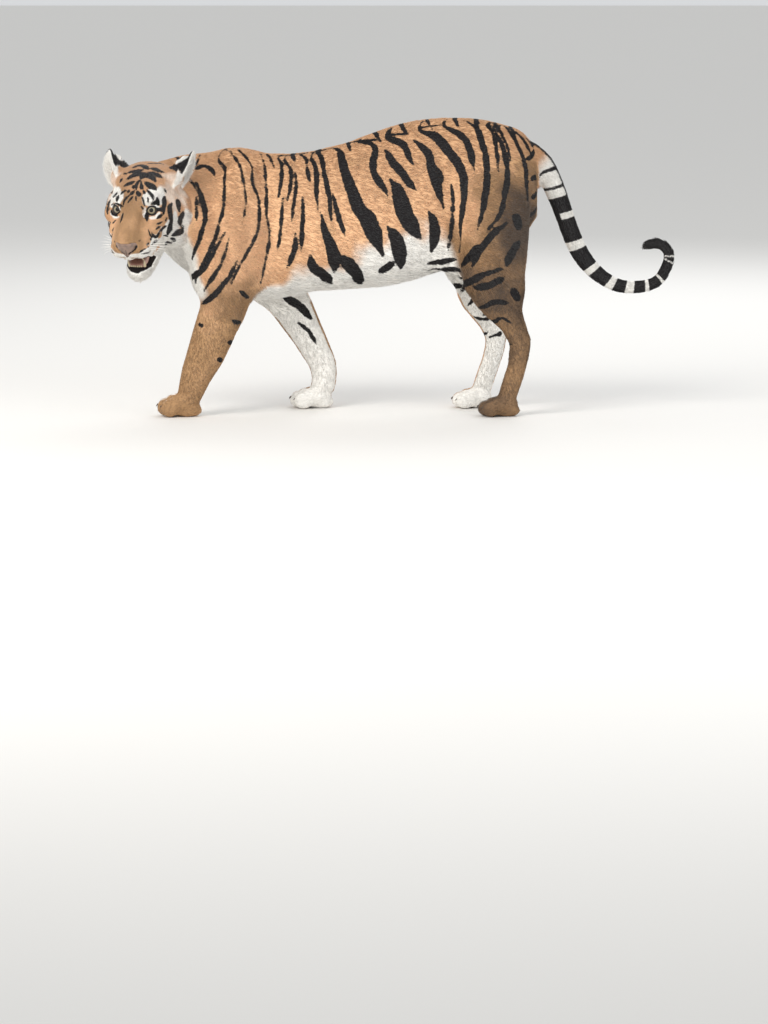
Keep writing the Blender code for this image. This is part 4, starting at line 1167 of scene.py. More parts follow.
mud = np.maximum(mud, 0.20 * relaxed(front_of_face, EDGES, 10))
mud = np.maximum(mud, 0.42 * of_nodes("upper_arm", "forearm", "forepaw") * smoothstep(0.54, 0.30, Z))
mouth_in = ON_HEAD * (HEAD_A > -0.05) * (HEAD_A < 0.122) * (np.abs(HEAD_L) < 0.062)
roof = mouth_in * (1 - ON_JAW) * smoothstep(-0.45, -0.75, HEAD_NORMALS[:, 2]) * (HEAD_B < -0.085)
jaw_top = mouth_in * ON_JAW * smoothstep(0.25, 0.55, HEAD_NORMALS[:, 2]) * (HEAD_B < -0.10)
throat = mouth_in * (np.abs(HEAD_L) < 0.046) * (HEAD_A < 0.07) * (HEAD_B < -0.09)
throat = throat * smoothstep(0.1, 0.4, HEAD_NORMALS[:, 0])
bare = relaxed(np.clip(roof + jaw_top + throat, 0, 1), EDGES, 1)
inside_mouth = bare * smoothstep(0.092, 0.078, HEAD_A) * smoothstep(0.036, 0.028, np.abs(HEAD_L))
print("stripe", round(stripe.min(), 3), " white", round(white.mean(), 2), " bare", int((bare > 0.5).sum()))

# %% [markdown]
# ## How the coat lies and how long it is
#
# Hair sweeps from the nose over the head, back along the trunk, down the legs and out along the tail. Ways
# given for each part are smoothed together over the skin, so that they turn gently from part to part.

# %% Lie of the coat
def lie_of_coat():
    def where(mask, there, ways):
        return np.where(mask[:, None] > 0, np.array(there), ways)

    ways = np.tile((1.0, 0.0, -0.28), (len(SKIN_PLACES), 1))
    limb = np.clip(ON_LIMB + of_nodes("upper_arm", "thigh") * 0.6, 0, 1) * smoothstep(0.62, 0.40, Z)
    ways = ways * (1 - limb[:, None]) + np.array((0.12, 0.0, -1.0)) * limb[:, None]
    ways = where(ON_PAW, (-0.9, 0.0, -0.45), ways)
    head = SKIN_PLACES - np.array(HEAD @ Vector((0.17, 0, -0.075)))  # away from the tip of the nose
    head /= np.linalg.norm(head, axis=1)[:, None]
    head = head + 0.35 * np.array(-CROWN) * (HEAD_B < -0.02)[:, None]
    ways = where(ON_HEAD, head, ways)
    outwards = np.array(TO_LEFT) * np.sign(HEAD_L)[:, None] * 0.6
    ways = where(ON_EAR, np.array(in_head(-0.5, 0, 0.8)) + outwards, ways)
    ways = where(ON_TAIL, TAIL_WAYS[nearest_step], ways)
    ways = where(ON_JAW, in_head(-0.75, 0, -0.6), ways)
    ways = relaxed(ways, EDGES, 12)
    ways -= SKIN_NORMALS * np.einsum("ij,ij->i", ways, SKIN_NORMALS)[:, None]
    return ways / np.maximum(np.linalg.norm(ways, axis=1), 1e-6)[:, None]


LIE = lie_of_coat()

# %% Length of the coat, in metres
BODY_HAIR, LEG_HAIR, PAW_HAIR, TAIL_HAIR, EAR_HAIR, MUZZLE_HAIR = 0.017, 0.011, 0.007, 0.017, 0.008, 0.004
from_muzzle = np.linalg.norm(SKIN_PLACES - np.array(HEAD @ Vector((0.06, 0, -0.06))), axis=1)
hair = np.full(len(SKIN_PLACES), BODY_HAIR)
hair += 0.014 * smoothstep(-0.35, -0.75, SKIN_NORMALS[:, 2]) * (Z > 0.35)
hair += 0.008 * of_nodes("chest", "thigh", "hindquarters") * smoothstep(0.62, 0.50, Z)
hair = np.where(ON_LIMB > 0, LEG_HAIR, hair)
hair = np.where(ON_PAW > 0, PAW_HAIR, hair)
hair = np.where(ON_TAIL > 0, TAIL_HAIR, hair)
face_hair = MUZZLE_HAIR + 0.011 * smoothstep(0.06, 0.20, from_muzzle)
ruff = smoothstep(0.10, 0.17, from_muzzle) * smoothstep(-0.02, -0.10, HEAD_B)
ruff = ruff * smoothstep(0.055, 0.09, np.abs(HEAD_L))
chin_hair = ON_JAW * smoothstep(-0.13, -0.17, HEAD_B)
hair = np.where(ON_HEAD > 0, face_hair + 0.018 * ruff + 0.008 * chin_hair, hair)
hair = np.where(ON_EAR > 0, EAR_HAIR, hair)
hair = relaxed(hair, EDGES, 5)
hair = np.where(ON_HEAD > 0, np.minimum(hair, 0.003 + 0.30 * np.maximum(eye_gap - EYE_RADIUS, 0)), hair)
depth = np.clip(hair * 0.20, 0.0006, 0.006)
depth = np.where(ON_EAR > 0, 0.0004, depth)
depth = relaxed(depth, EDGES, 6) * smoothstep(EYE_RADIUS * 1.3, EYE_RADIUS * 2.0, eye_gap)
print("hair", round(hair.min(), 4), "to", round(hair.max(), 4), "m")

# %% [markdown]
# ## Creases
#
# Under the coat, shoulder, elbow, ribs and haunch meet in shallow folds. The skin is pressed in along
# strokes, and everything is then lowered by the depth of the coat, so that the hairs end where the solids do.

# %% Pressing folds and lowering the skin
FOLDS = (  # width and depth in millimetres, then length and height in centimetres
    (60, 6, (-42, 80), (-40, 68), (-41, 56), (-43, 46)),
    (50, 5, (-60, 70), (-56, 60), (-52, 50)),
    (60, 6, (18, 80), (19, 68), (22, 58), (25, 50)),
    (40, 4, (-46, 44), (-48, 36), (-51, 28)),
    (40, 4, (32, 60), (36, 50), (38, 44)),
    (50, 3, (-30, 70), (-28, 60), (-29, 50)),
    (50, 3, (-20, 72), (-18, 62)),
)


def pressed(places):
    for width, depth_mm, *points in FOLDS:
        for side in (-1, 1):
            path, normals, _ = side_stroke(1, points, side)
            low, high = path.min(0) - width / 1000, path.max(0) + width / 1000
            near = np.nonzero(np.all((places > low) & (places < high), axis=1))[0]
            gap = np.linalg.norm(places[near, None] - path[None], axis=2)
            closest = gap.argmin(axis=1)
            same = np.einsum("ij,ij->i", SKIN_NORMALS[near], normals[closest]) > 0
            push = depth_mm / 1000 * np.exp(-((gap.min(axis=1) / (width / 2000)) ** 2)) * same
            places[near] -= SKIN_NORMALS[near] * push[:, None]
    return places


set_coordinates(skin.data, pressed(SKIN_PLACES.copy()) - SKIN_NORMALS * depth[:, None])
sculpt_eyes(skin)

# %% Storing the attributes
def store(mesh, name, values, kind="FLOAT", domain="POINT"):
    layer = mesh.attributes.new(name, kind, domain)
    layer.data.foreach_set("vector" if kind in ("FLOAT_VECTOR", "FLOAT2") else "value",
                           np.asarray(values, np.float32).ravel())


for name, values in (("bare", bare), ("inside", inside_mouth), ("hair", hair)):
    store(skin.data, name, values)
store(skin.data, "marks", np.stack([stripe, white, mud], axis=1), "FLOAT_VECTOR")
store(skin.data, "lie", LIE, "FLOAT_VECTOR")
skin.data.shade_smooth()


# %% [markdown]
# ## Colours
#
# Orange deepens along the back and pales down the sides; white, mud, black and bare skin follow the stored
# values. Fine noise, stretched along the hairs, frays the edges of the stripes as hairs would.

# %% The coat's colours, for skin and hairs alike
COAT = {
    "orange back": "#cfa27a", "orange side": "#ebbc91", "white": "#faf7f1", "brown": "#b08a63",
    "mud": "#4c3f36", "black": "#1f1c1d", "lip": "#1c1616", "mouth": "#5b3b34",
}
COAT = {name: linear(colour) for name, colour in COAT.items()}


def painted(tree, under, over, value, low, high, first=0.0, last=1.0):
    """Lays a colour over another, from first to last as the value climbs from low to high."""
    cover = add(tree, "ShaderNodeMapRange", {0: value, 1: low, 2: high, 3: first, 4: last},
                interpolation_type="SMOOTHSTEP")
    return add(tree, "ShaderNodeMix", {0: cover.outputs[0], 6: under, 7: over}, data_type="RGBA").outputs[2]


def toned(tree, colour, tone):
    """The colour made darker or lighter by a number."""
    grey = add(tree, "ShaderNodeCombineColor", {0: tone, 1: tone, 2: tone}).outputs[0]
    return add(tree, "ShaderNodeMix", {0: 1.0, 6: colour, 7: grey}, data_type="RGBA",
               blend_type="MULTIPLY").outputs[2]


def shaken(tree, value, noise_value, amount):
    """The value with a noise round nothing added to it."""
    about_nothing = add(tree, "ShaderNodeMath", {0: noise_value, 1: 0.5}, operation="SUBTRACT").outputs[0]
    change = add(tree, "ShaderNodeMath", {0: about_nothing, 1: amount}, operation="MULTIPLY").outputs[0]
    return add(tree, "ShaderNodeMath", {0: value, 1: change}, operation="ADD").outputs[0]


STRANDS = 260.0  # to a metre: bunches of hairs some 4 mm wide, coarser than hairs so that they show
DAPPLES = 9.0  # to a metre: where the coat is a little thicker, dirtier or more bleached


def coat_colour(tree):
    """The markings' colour at a point, from the stored values and two noises."""
    place = add(tree, "ShaderNodeTexCoord").outputs["Object"]
    drawn = add(tree, "ShaderNodeMapping", {"Vector": place, "Scale": (0.35, 1.0, 1.0)}).outputs[0]
    fine = add(tree, "ShaderNodeTexNoise", {"Vector": drawn, "Scale": STRANDS, "Detail": 3.0}).outputs["Fac"]
    broad = add(tree, "ShaderNodeTexNoise", {"Vector": place, "Scale": DAPPLES, "Detail": 3.0}).outputs["Fac"]
    marks = add(tree, "ShaderNodeAttribute", attribute_name="marks").outputs["Vector"]
    stripe_at, white_at, mud_at = add(tree, "ShaderNodeSeparateXYZ", {0: marks}).outputs
    height = add(tree, "ShaderNodeSeparateXYZ", {0: place}).outputs["Z"]
    white_at, muddy = shaken(tree, white_at, broad, 0.5), shaken(tree, mud_at, broad, 0.9)
    edge = shaken(tree, stripe_at, fine, 0.006)
    colour = painted(tree, COAT["orange side"], COAT["orange back"], height, 0.60, 0.90)
    colour = painted(tree, colour, COAT["brown"], muddy, 0.05, 0.45)
    colour = painted(tree, colour, COAT["white"], white_at, 0.14, 0.92)
    colour = painted(tree, colour, COAT["mud"], muddy, 0.45, 1.0, 0, 0.88)
    colour = painted(tree, colour, COAT["black"], edge, -0.0012, 0.0016, 1, 0)
    tone = add(tree, "ShaderNodeMapRange", {0: fine, 1: 0.2, 2: 0.8, 3: 0.88, 4: 1.07},
               interpolation_type="SMOOTHSTEP").outputs[0]
    return toned(tree, colour, tone), fine


def skin_material():
    """A short coat is dull all over. Lips and mouth are bare and dark in the same material."""
    material, tree = new_material("short coat on skin")
    colour, fine = coat_colour(tree)
    inside = add(tree, "ShaderNodeAttribute", attribute_name="inside").outputs["Fac"]
    mouth = painted(tree, COAT["lip"], COAT["mouth"], inside, 0.2, 0.8)
    bare_at = add(tree, "ShaderNodeAttribute", attribute_name="bare").outputs["Fac"]
    colour = painted(tree, colour, mouth, bare_at, 0.35, 0.65)
    bump = add(tree, "ShaderNodeBump", {"Height": fine, "Strength": 0.5, "Distance": 0.002}).outputs[0]
    shade(tree, Base_Color=colour, Normal=bump, Roughness=0.8, Specular_IOR_Level=0.2)
    return material


def hair_material():
    """Clean dry hair has a broad soft sheen, painted shade at the roots, paler tips, and no two tufts alike.
    """
    material, tree = new_material("tufts of short hair")
    colour = coat_colour(tree)[0]
    # Painted shade: a tuft's colour darkens towards its root, where the coat shades it, and pales towards its
    # tip
    along = add(tree, "ShaderNodeAttribute", attribute_name="along").outputs["Fac"]
    along = add(tree, "ShaderNodeMapRange", {0: along, 1: 0, 2: 1, 3: 0.95, 4: 1.04},
                interpolation_type="SMOOTHSTEP").outputs[0]
    tone = add(tree, "ShaderNodeAttribute", attribute_name="tone").outputs["Fac"]
    tone = add(tree, "ShaderNodeMath", {0: tone, 1: along}, operation="MULTIPLY").outputs[0]
    colour = toned(tree, colour, tone)
    shade(tree, Base_Color=colour, Roughness=0.62, Specular_IOR_Level=0.25, Sheen_Weight=0.12)
    return material


skin.data.materials.append(skin_material())
skin.name = "skin"
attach(skin, "root")
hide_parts(*FLESH)
print("skin done:", len(skin.data.polygons), "faces")

# %% [markdown]
# ## Eyes
#
# Each eye is one ball with a slight bulge for the cornea. The iris is pale amber with a small round pupil
# and a dark edge, and a wet coat over it gives the catch light. The rims of the lids are black and bare.

# %% Eyeballs
IRIS, PUPIL = 0.0134, 0.0070  # radii
IRIS_STREAKS = 900.0  # to a metre: fibres of the iris, some 1 mm wide


def eyeball(name, side):
    bm = bmesh.new()
    bmesh.ops.create_uvsphere(bm, u_segments=72, v_segments=48, radius=EYE_RADIUS)
    for vertex in bm.verts:
        off_axis = math.hypot(vertex.co.x, vertex.co.y)
        if vertex.co.z > 0 and off_axis < IRIS:
            vertex.co.z += 0.0016 * (1 - (off_axis / IRIS) ** 2)
    look = in_head(*Vector((GAZE.x, GAZE.y if side > 0 else RIGHT_GAZE, GAZE.z)).normalized())
    mesh = bpy.data.meshes.new(name)
    bm.to_mesh(mesh)
    bm.free()
    off = np.hypot(*coordinates(mesh)[:, :2].T)
    off = np.where(coordinates(mesh)[:, 2] > 0, off, 0.05)
    store(mesh, "off_axis", off)
    turned = look.to_track_quat("Z", "Y").to_matrix().to_4x4()
    mesh.transform(Matrix.Translation(EYES[side]) @ turned)
    mesh.shade_smooth()
    ball_object = new_object(name, mesh)
    # A wet ball: the film of tears is the coat, which is smoother than what lies under it
    material, tree = new_material("wet amber eye")
    place = add(tree, "ShaderNodeTexCoord").outputs["Object"]
    streaks = add(tree, "ShaderNodeTexNoise", {"Vector": place, "Scale": IRIS_STREAKS}).outputs["Fac"]
    off_axis = add(tree, "ShaderNodeAttribute", attribute_name="off_axis").outputs["Fac"]
    colour = painted(tree, linear("#a89f88"), linear("#8f866c"), off_axis, PUPIL, IRIS * 0.9)
    colour = painted(tree, colour, linear("#5d5238"), streaks, 0.35, 0.75, 0, 0.45)
    colour = painted(tree, linear("#0b0908"), colour, off_axis, PUPIL - 0.0003, PUPIL + 0.0004)
    colour = painted(tree, colour, linear("#2a1f16"), off_axis, IRIS - 0.0018, IRIS)
    shade(tree, Base_Color=colour, Roughness=0.3, Specular_IOR_Level=0.25, Coat_Weight=0.3,
          Coat_Roughness=0.03)
    mesh.materials.append(material)
    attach(ball_object, "root")
    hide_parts(name)


eyeball("eye_left", 1)
eyeball("eye_right", -1)


# %% Dark bare rims round the eyes
def tube(name, paths, material, closed=True, resolution=3):
    """Tubes through lists of points with a radius each, as one plain mesh."""
    curve = bpy.data.curves.new(name, "CURVE")
    curve.dimensions, curve.use_fill_caps = "3D", True
    curve.bevel_depth, curve.bevel_resolution = 1.0, resolution
    for path in paths:
        spline = curve.splines.new("POLY")
        spline.points.add(len(path) - 1)
        for point, (place, radius) in zip(spline.points, path):
            point.co, point.radius = (*place, 1), radius
        spline.use_cyclic_u = closed
    made = new_object(name, curve)
    mesh = bpy.data.meshes.new_from_object(made.evaluated_get(bpy.context.evaluated_depsgraph_get()))
    bpy.data.objects.remove(made)
    made = new_object(name, mesh)
    mesh.materials.clear()
    mesh.materials.append(material)
    mesh.shade_smooth()
    return made


def rim_path(side):
    out, temple, up = eye_frame(side)
    tilt = math.radians(OPENING["tilt"])
    path = []
    for i in range(64):
        turn = 2 * math.pi * i / 64
        across = math.cos(turn)
        reach = OPENING["outer"] if across > 0 else OPENING["inner"]
        left = 1 - across**2
        lid = OPENING["top"] * left**0.75 if math.sin(turn) > 0 else -OPENING["bottom"] * left**0.9
        u = math.radians(across * reach * math.cos(tilt) - lid * math.sin(tilt))
        v = math.radians(lid * math.cos(tilt) + across * reach * math.sin(tilt))
        way = out * (math.cos(u) * math.cos(v)) + temple * (math.sin(u) * math.cos(v)) + up * math.sin(v)
        path.append((EYES[side] + way * (EYE_RADIUS + 0.0012), 0.0021 if math.sin(turn) > 0 else 0.0016))
    return path


# Bare moist skin, black, with a narrow shine
material, tree = new_material("black rim of the eye")
shade(tree, Base_Color=linear("#120e0e"), Roughness=0.35)
rims = tube("eye_rims", [rim_path(1), rim_path(-1)], material)
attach(rims, "root")
print("eyes and rims done")

# %% [markdown]
# ## Nose, tongue, teeth, claws and whiskers
#
# The nose leather is a bare pebbled pad with a nostril like a comma on each side and a groove down its
# middle. It is a sheet of its own, laid on the muzzle by rays from the front, and the skin beneath is
# pushed back.

# %% Nose leather
LEATHER = (  # height in the head's frame, and half the width there
    (-0.041, 0.026), (-0.046, 0.034), (-0.054, 0.039), (-0.064, 0.040), (-0.071, 0.035), (-0.078, 0.024),
    (-0.085, 0.013), (-0.091, 0.006), (-0.096, 0.003),
)
PEBBLES, BLOTCHES = 620.0, 70.0  # to a metre: pebbles 1.6 mm wide, and darker blotches of 14 mm
# Down the middle of one nostril, as distance from her middle and height
NOSTRIL = ((0.034, -0.060), (0.032, -0.068), (0.024, -0.074), (0.014, -0.078), (0.007, -0.084))


def leather_half_width(b):
    return np.interp(-b, [-row[0] for row in LEATHER], [row[1] for row in LEATHER])


def muzzle_front(l, b):
    start = HEAD @ Vector((0.30, l, b))
    return skin_tree.ray_cast(start, -FORWARD)[0]


def sculpt_nose():
    places = coordinates(skin.data)
    at = head_places(places)
    room = leather_half_width(at[:, 2]) - np.abs(at[:, 1])
    inside = smoothstep(0.0005, 0.004, room) * (at[:, 0] > 0.08) * (at[:, 2] < -0.041) * (at[:, 2] > -0.095)
    places -= np.array(FORWARD) * (0.010 * inside)[:, None]
    set_coordinates(skin.data, places)


def nose_leather():
    rows, columns = 44, 56
    bm = bmesh.new()
    pit_shade_layer = bm.verts.layers.float.new("pit")
    grid = []
    for i in range(rows + 1):
        b = -0.041 - 0.055 * i / rows
        row = []
        for j in range(columns + 1):
            across = 2 * j / columns - 1
            l = across * float(leather_half_width(b))
            hit = muzzle_front(l, b)
            nearest = min(
                (Vector((abs(l), b)) - (Vector(p) + (Vector(q) - Vector(p)) * t / 6)).length
                for p, q in zip(NOSTRIL, NOSTRIL[1:]) for t in range(7)
            )
            wide = 0.0042 if abs(l) > 0.02 else 0.0022
            pit = math.exp(-((nearest / wide) ** 2))
            groove = math.exp(-((l / 0.0012) ** 2)) * min(max((-0.058 - b) / 0.01, 0), 1)
            border = max(abs(across) ** 8, (1 - i / rows) ** 14)
            out = 0.0016 - 0.0045 * border - 0.0085 * pit - 0.0016 * groove
            vertex = bm.verts.new(hit + FORWARD * out)
            # How dark this point is painted: painted shade in the nostrils, and a little less in the groove
            vertex[pit_shade_layer] = max(pit, 0.8 * groove)
            row.append(vertex)
        grid.append(row)
    for i in range(rows):
        for j in range(columns):
            bm.faces.new((grid[i][j], grid[i + 1][j], grid[i + 1][j + 1], grid[i][j + 1]))
    bmesh.ops.smooth_vert(bm, verts=bm.verts, factor=0.4, use_axis_x=True, use_axis_y=True, use_axis_z=True)
    bmesh.ops.recalc_face_normals(bm, faces=bm.faces)
    nose = object_of(bm, "nose_leather")
    nose.data.shade_smooth()
    # Bare skin, pebbled and kept damp, so it shines a little more than the coat
    material, tree = new_material("damp nose leather")
    place = add(tree, "ShaderNodeTexCoord").outputs["Object"]
    pebbles = add(tree, "ShaderNodeTexVoronoi", {"Vector": place, "Scale": PEBBLES}).outputs["Distance"]
    blotch = add(tree, "ShaderNodeTexNoise", {"Vector": place, "Scale": BLOTCHES}).outputs["Fac"]
    pit = add(tree, "ShaderNodeAttribute", attribute_name="pit").outputs["Fac"]
    colour = painted(tree, linear("#977c6d"), linear("#7b675c"), blotch, 0.35, 0.7)
    # Painted shade: the nostrils and the groove down the middle are painted near black, as shade in these
    # hollows
    colour = painted(tree, colour, linear("#0d0909"), pit, 0.25, 0.8)
    bump = add(tree, "ShaderNodeBump", {"Height": pebbles, "Strength": 0.35, "Distance": 0.001}).outputs[0]
    shade(tree, Base_Color=colour, Normal=bump, Roughness=0.42, Coat_Weight=0.15)
    nose.data.materials.append(material)
    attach(nose, "root")


sculpt_nose()
nose_leather()


# %% Tongue
SPINES = 500.0  # to a metre: a spine every 2 mm


def tongue_piece():
    tongue = join_by_voxels(copied_nodes(("tongue",), "tongue_flesh"), TONGUE_VOXEL)
    places, edges = coordinates(tongue.data), edges_of(tongue.data)
    places = relaxed(places, edges, 14)
    at = head_places(places)
    groove = np.exp(-((at[:, 1] / 0.004) ** 2)) * 0.002
    under = smoothstep(0.2, -0.4, normals_of(tongue.data) @ np.array(CROWN))
    places = places + np.array(CROWN) * (0.001 - groove - 0.016 * under)[:, None]
    places = places + np.array(TO_LEFT) * (0.22 * at[:, 1])[:, None] + np.array(FORWARD) * 0.004
    set_coordinates(tongue.data, places)
    store(tongue.data, "rim", np.abs(at[:, 1]))
    tongue.data.shade_smooth()
    # Wet flesh, darker down its middle, and rough with small spines
    material, tree = new_material("wet tongue")
    place = add(tree, "ShaderNodeTexCoord").outputs["Object"]
    spines = add(tree, "ShaderNodeTexVoronoi", {"Vector": place, "Scale": SPINES}).outputs["Distance"]
    rim = add(tree, "ShaderNodeAttribute", attribute_name="rim").outputs["Fac"]
    colour = painted(tree, linear("#8a6152"), linear("#bb988a"), rim, 0.012, 0.024)
    bump = add(tree, "ShaderNodeBump", {"Height": spines, "Strength": 0.4, "Distance": 0.001}).outputs[0]
    shade(tree, Base_Color=colour, Normal=bump, Roughness=0.35)
    tongue.data.materials.append(material)
    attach(tongue, "root")
    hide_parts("tongue")


tongue_piece()

# %% Teeth, claws and whiskers as tapered tubes
def tapered(start, ways, lengths, radius, tip=0.0):
    """A path that starts at a place, turns from way to way and thins to its tip."""
    path, here, total = [(start, radius)], start.copy(), sum(lengths)
    gone = 0.0
    for way, length in zip(ways, lengths):
        here = here + way.normalized() * length
        gone += length
        path.append((here.copy(), radius + (tip - radius) * (gone / total) ** 1.3))
    return path


def teeth():
    paths = []
    for side in (1, -1):
        # A lower canine stands outside the tongue and leans back at its tip
        root = skin_tree.ray_cast(HEAD @ Vector((0.078, side * 0.026, -0.136)), -CROWN)[0]
        ways = [in_head(0.15, side * 0.18, 1), in_head(0, side * 0.10, 1), in_head(-0.25, 0, 1)]
        paths.append(tapered(root - CROWN * 0.004, ways, (0.010, 0.008, 0.007), 0.0052, 0.0008))
        # The point of an upper canine shows under the lip
        root = skin_tree.ray_cast(HEAD @ Vector((0.092, side * 0.032, -0.136)), CROWN)[0]
        ways = [in_head(0.05, 0, -1), in_head(-0.05, 0, -1), in_head(-0.2, 0, -1)]
        paths.append(tapered(root + CROWN * 0.006, ways, (0.008, 0.006, 0.005), 0.0048, 0.0008))
        for place in (0.004, 0.0105, 0.0165):
            hit = skin_tree.ray_cast(HEAD @ Vector((0.086 - 8 * place**2, side * place, -0.136)), -CROWN)[0]
            ways = [in_head(0.2, 0, 1), in_head(0, 0, 1)]
            paths.append(tapered(hit - CROWN * 0.003, ways, (0.004, 0.002), 0.0026, 0.0018))
    # Enamel over dentine: yellowish and glossy, so it catches a small light
    material, tree = new_material("ivory of the teeth")
    shade(tree, Base_Color=linear("#cbbb98"), Roughness=0.28, Coat_Weight=0.4)
    made = tube("teeth", paths, material, closed=False)
    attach(made, "root")


def claws():
    paths = []
    for node in PAW_NODES:
        low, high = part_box(node)
        length, width, height = high - low
        for toe in TOES:
            y = (low.y + high.y) / 2 - toe * TOE_PITCH * width / 2
            start = Vector((low.x - 0.05, y, low.z + 0.46 * height))
            hit = skin_tree.ray_cast(start, Vector((1, 0, 0)))[0]
            if hit is None or hit.x > low.x + 0.6 * length:
                continue
            ways = [Vector((-1, 0, 0.1)), Vector((-1, 0, -0.7)), Vector((-0.5, 0, -1))]
            paths.append(tapered(hit + Vector((0.006, 0, 0)), ways, (0.006, 0.004, 0.004), 0.0028, 0.0004))
    # Horn is smooth but dull, because it wears on the ground
    material, tree = new_material("dark horn of the claws")
    shade(tree, Base_Color=linear("#4b4038"), Roughness=0.4)
    made = tube("claws", paths, material, closed=False)
    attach(made, "root")
    print("claws:", len(paths))


WHISKERS_OF_ROWS = (4, 5, 5, 4)


def whiskers():
    rng = np.random.default_rng(7)
    paths = []
    for side in (1, -1):
        for row, count in enumerate(WHISKERS_OF_ROWS):
            for k in range(count):
                a = 0.104 - 0.013 * k - 0.003 * row
                b = -0.068 - 0.010 * row - 0.002 * k
                start = HEAD @ Vector((a, side * 0.20, b))
                root = skin_tree.ray_cast(start, -TO_LEFT * side)[0]
                if root is None:
                    continue
                size = rng.uniform(0.060, 0.095) * (0.8 + 0.08 * k)
                droop = -0.12 - 0.10 * row
                ways = [
                    in_head(0.10 - 0.18 * k, side * 1.0, droop + 0.10 + rng.uniform(-0.1, 0.1)),
                    in_head(-0.30 - 0.15 * k, side * 0.9, droop - 0.10),
                    in_head(-0.55 - 0.12 * k, side * 0.75, droop - 0.32),
                    in_head(-0.75 - 0.10 * k, side * 0.6, droop - 0.55),
                ]
                paths.append(tapered(root - TO_LEFT * side * 0.002, ways, [size / 4] * 4, 0.00055, 0.00012))
    for side in (1, -1):
        for k in range(4):  # the long hairs over the eyes
            above = EYES[side] + CROWN * (0.028 + 0.002 * k) + TO_LEFT * side * 0.006 * (k - 1)
            root, out = skin_tree.find_nearest(above)[0], side * k
            ways = [in_head(0.5, 0.15 * out, 1), in_head(0.0, 0.25 * out, 1), in_head(-0.5, 0.3 * out, 0.8)]
            paths.append(tapered(root, ways, [0.012] * 3, 0.00045, 0.0001))
    # Stiff clean bristles, smoother than hair
    material, tree = new_material("white whiskers")
    shade(tree, Base_Color=linear("#f4f1ea"), Roughness=0.3)
    made = tube("whiskers", paths, material, closed=False, resolution=1)
    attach(made, "root")


teeth()
claws()
whiskers()
print("nose, tongue, teeth, claws and whiskers done")

# %% [markdown]
# ## The coat
#
# Her summer coat is short and lies flat, a little longer on the belly, the throat, the cheeks and low on the
# chest and haunches. Particle hair or curves would be lighter, but every hair must stay a solid mesh. One
# Geometry Nodes tree scatters tapered, bent tufts over the skin, turns each along the lie, lifts it slightly
# and scales it.

# %% One tuft
def tuft_mesh():
    """Three sides, two segments, and a point; z runs along the tuft and y away from the skin."""
    rings = ((0.0, 1.0, -0.15), (0.5, 0.72, 0.42))  # height, size and bend of each
    corners = ((-0.5, -0.12), (0.5, -0.12), (0.0, 0.30))
    bm = bmesh.new()
    along = bm.verts.layers.float.new("along")
    rows = []
    for z, size, bend in rings:
        rows.append([bm.verts.new((x * size, y * size + bend, z)) for x, y in corners])
    tip = bm.verts.new((0, 0.10, 1.0))
    for vertex in bm.verts:
        vertex[along] = vertex.co.z
    for i in range(3):
        j = (i + 1) % 3
        bm.faces.new((rows[0][i], rows[0][j], rows[1][j], rows[1][i]))
        bm.faces.new((rows[1][i], rows[1][j], tip))
    bmesh.ops.triangulate(bm, faces=bm.faces)
    bmesh.ops.recalc_face_normals(bm, faces=bm.faces)
    mesh = bpy.data.meshes.new("one tuft")
    bm.to_mesh(mesh)
    bm.free()
    mesh.shade_smooth()
    places = coordinates(mesh)
    patch = np.stack([places[:, 0] + 0.5, places[:, 2], 0 * places[:, 2]], axis=1)
    store(mesh, "patch", patch, "FLOAT_VECTOR")
    return mesh


TUFT = new_object("one tuft", tuft_mesh())
PATCH = 0.003  # how far a tuft's own patch reaches on the unwrap
THINNEST, THICKEST, WIDTH_FOR_LENGTH = 0.0010, 0.0036, 0.10  # a longer tuft is wider


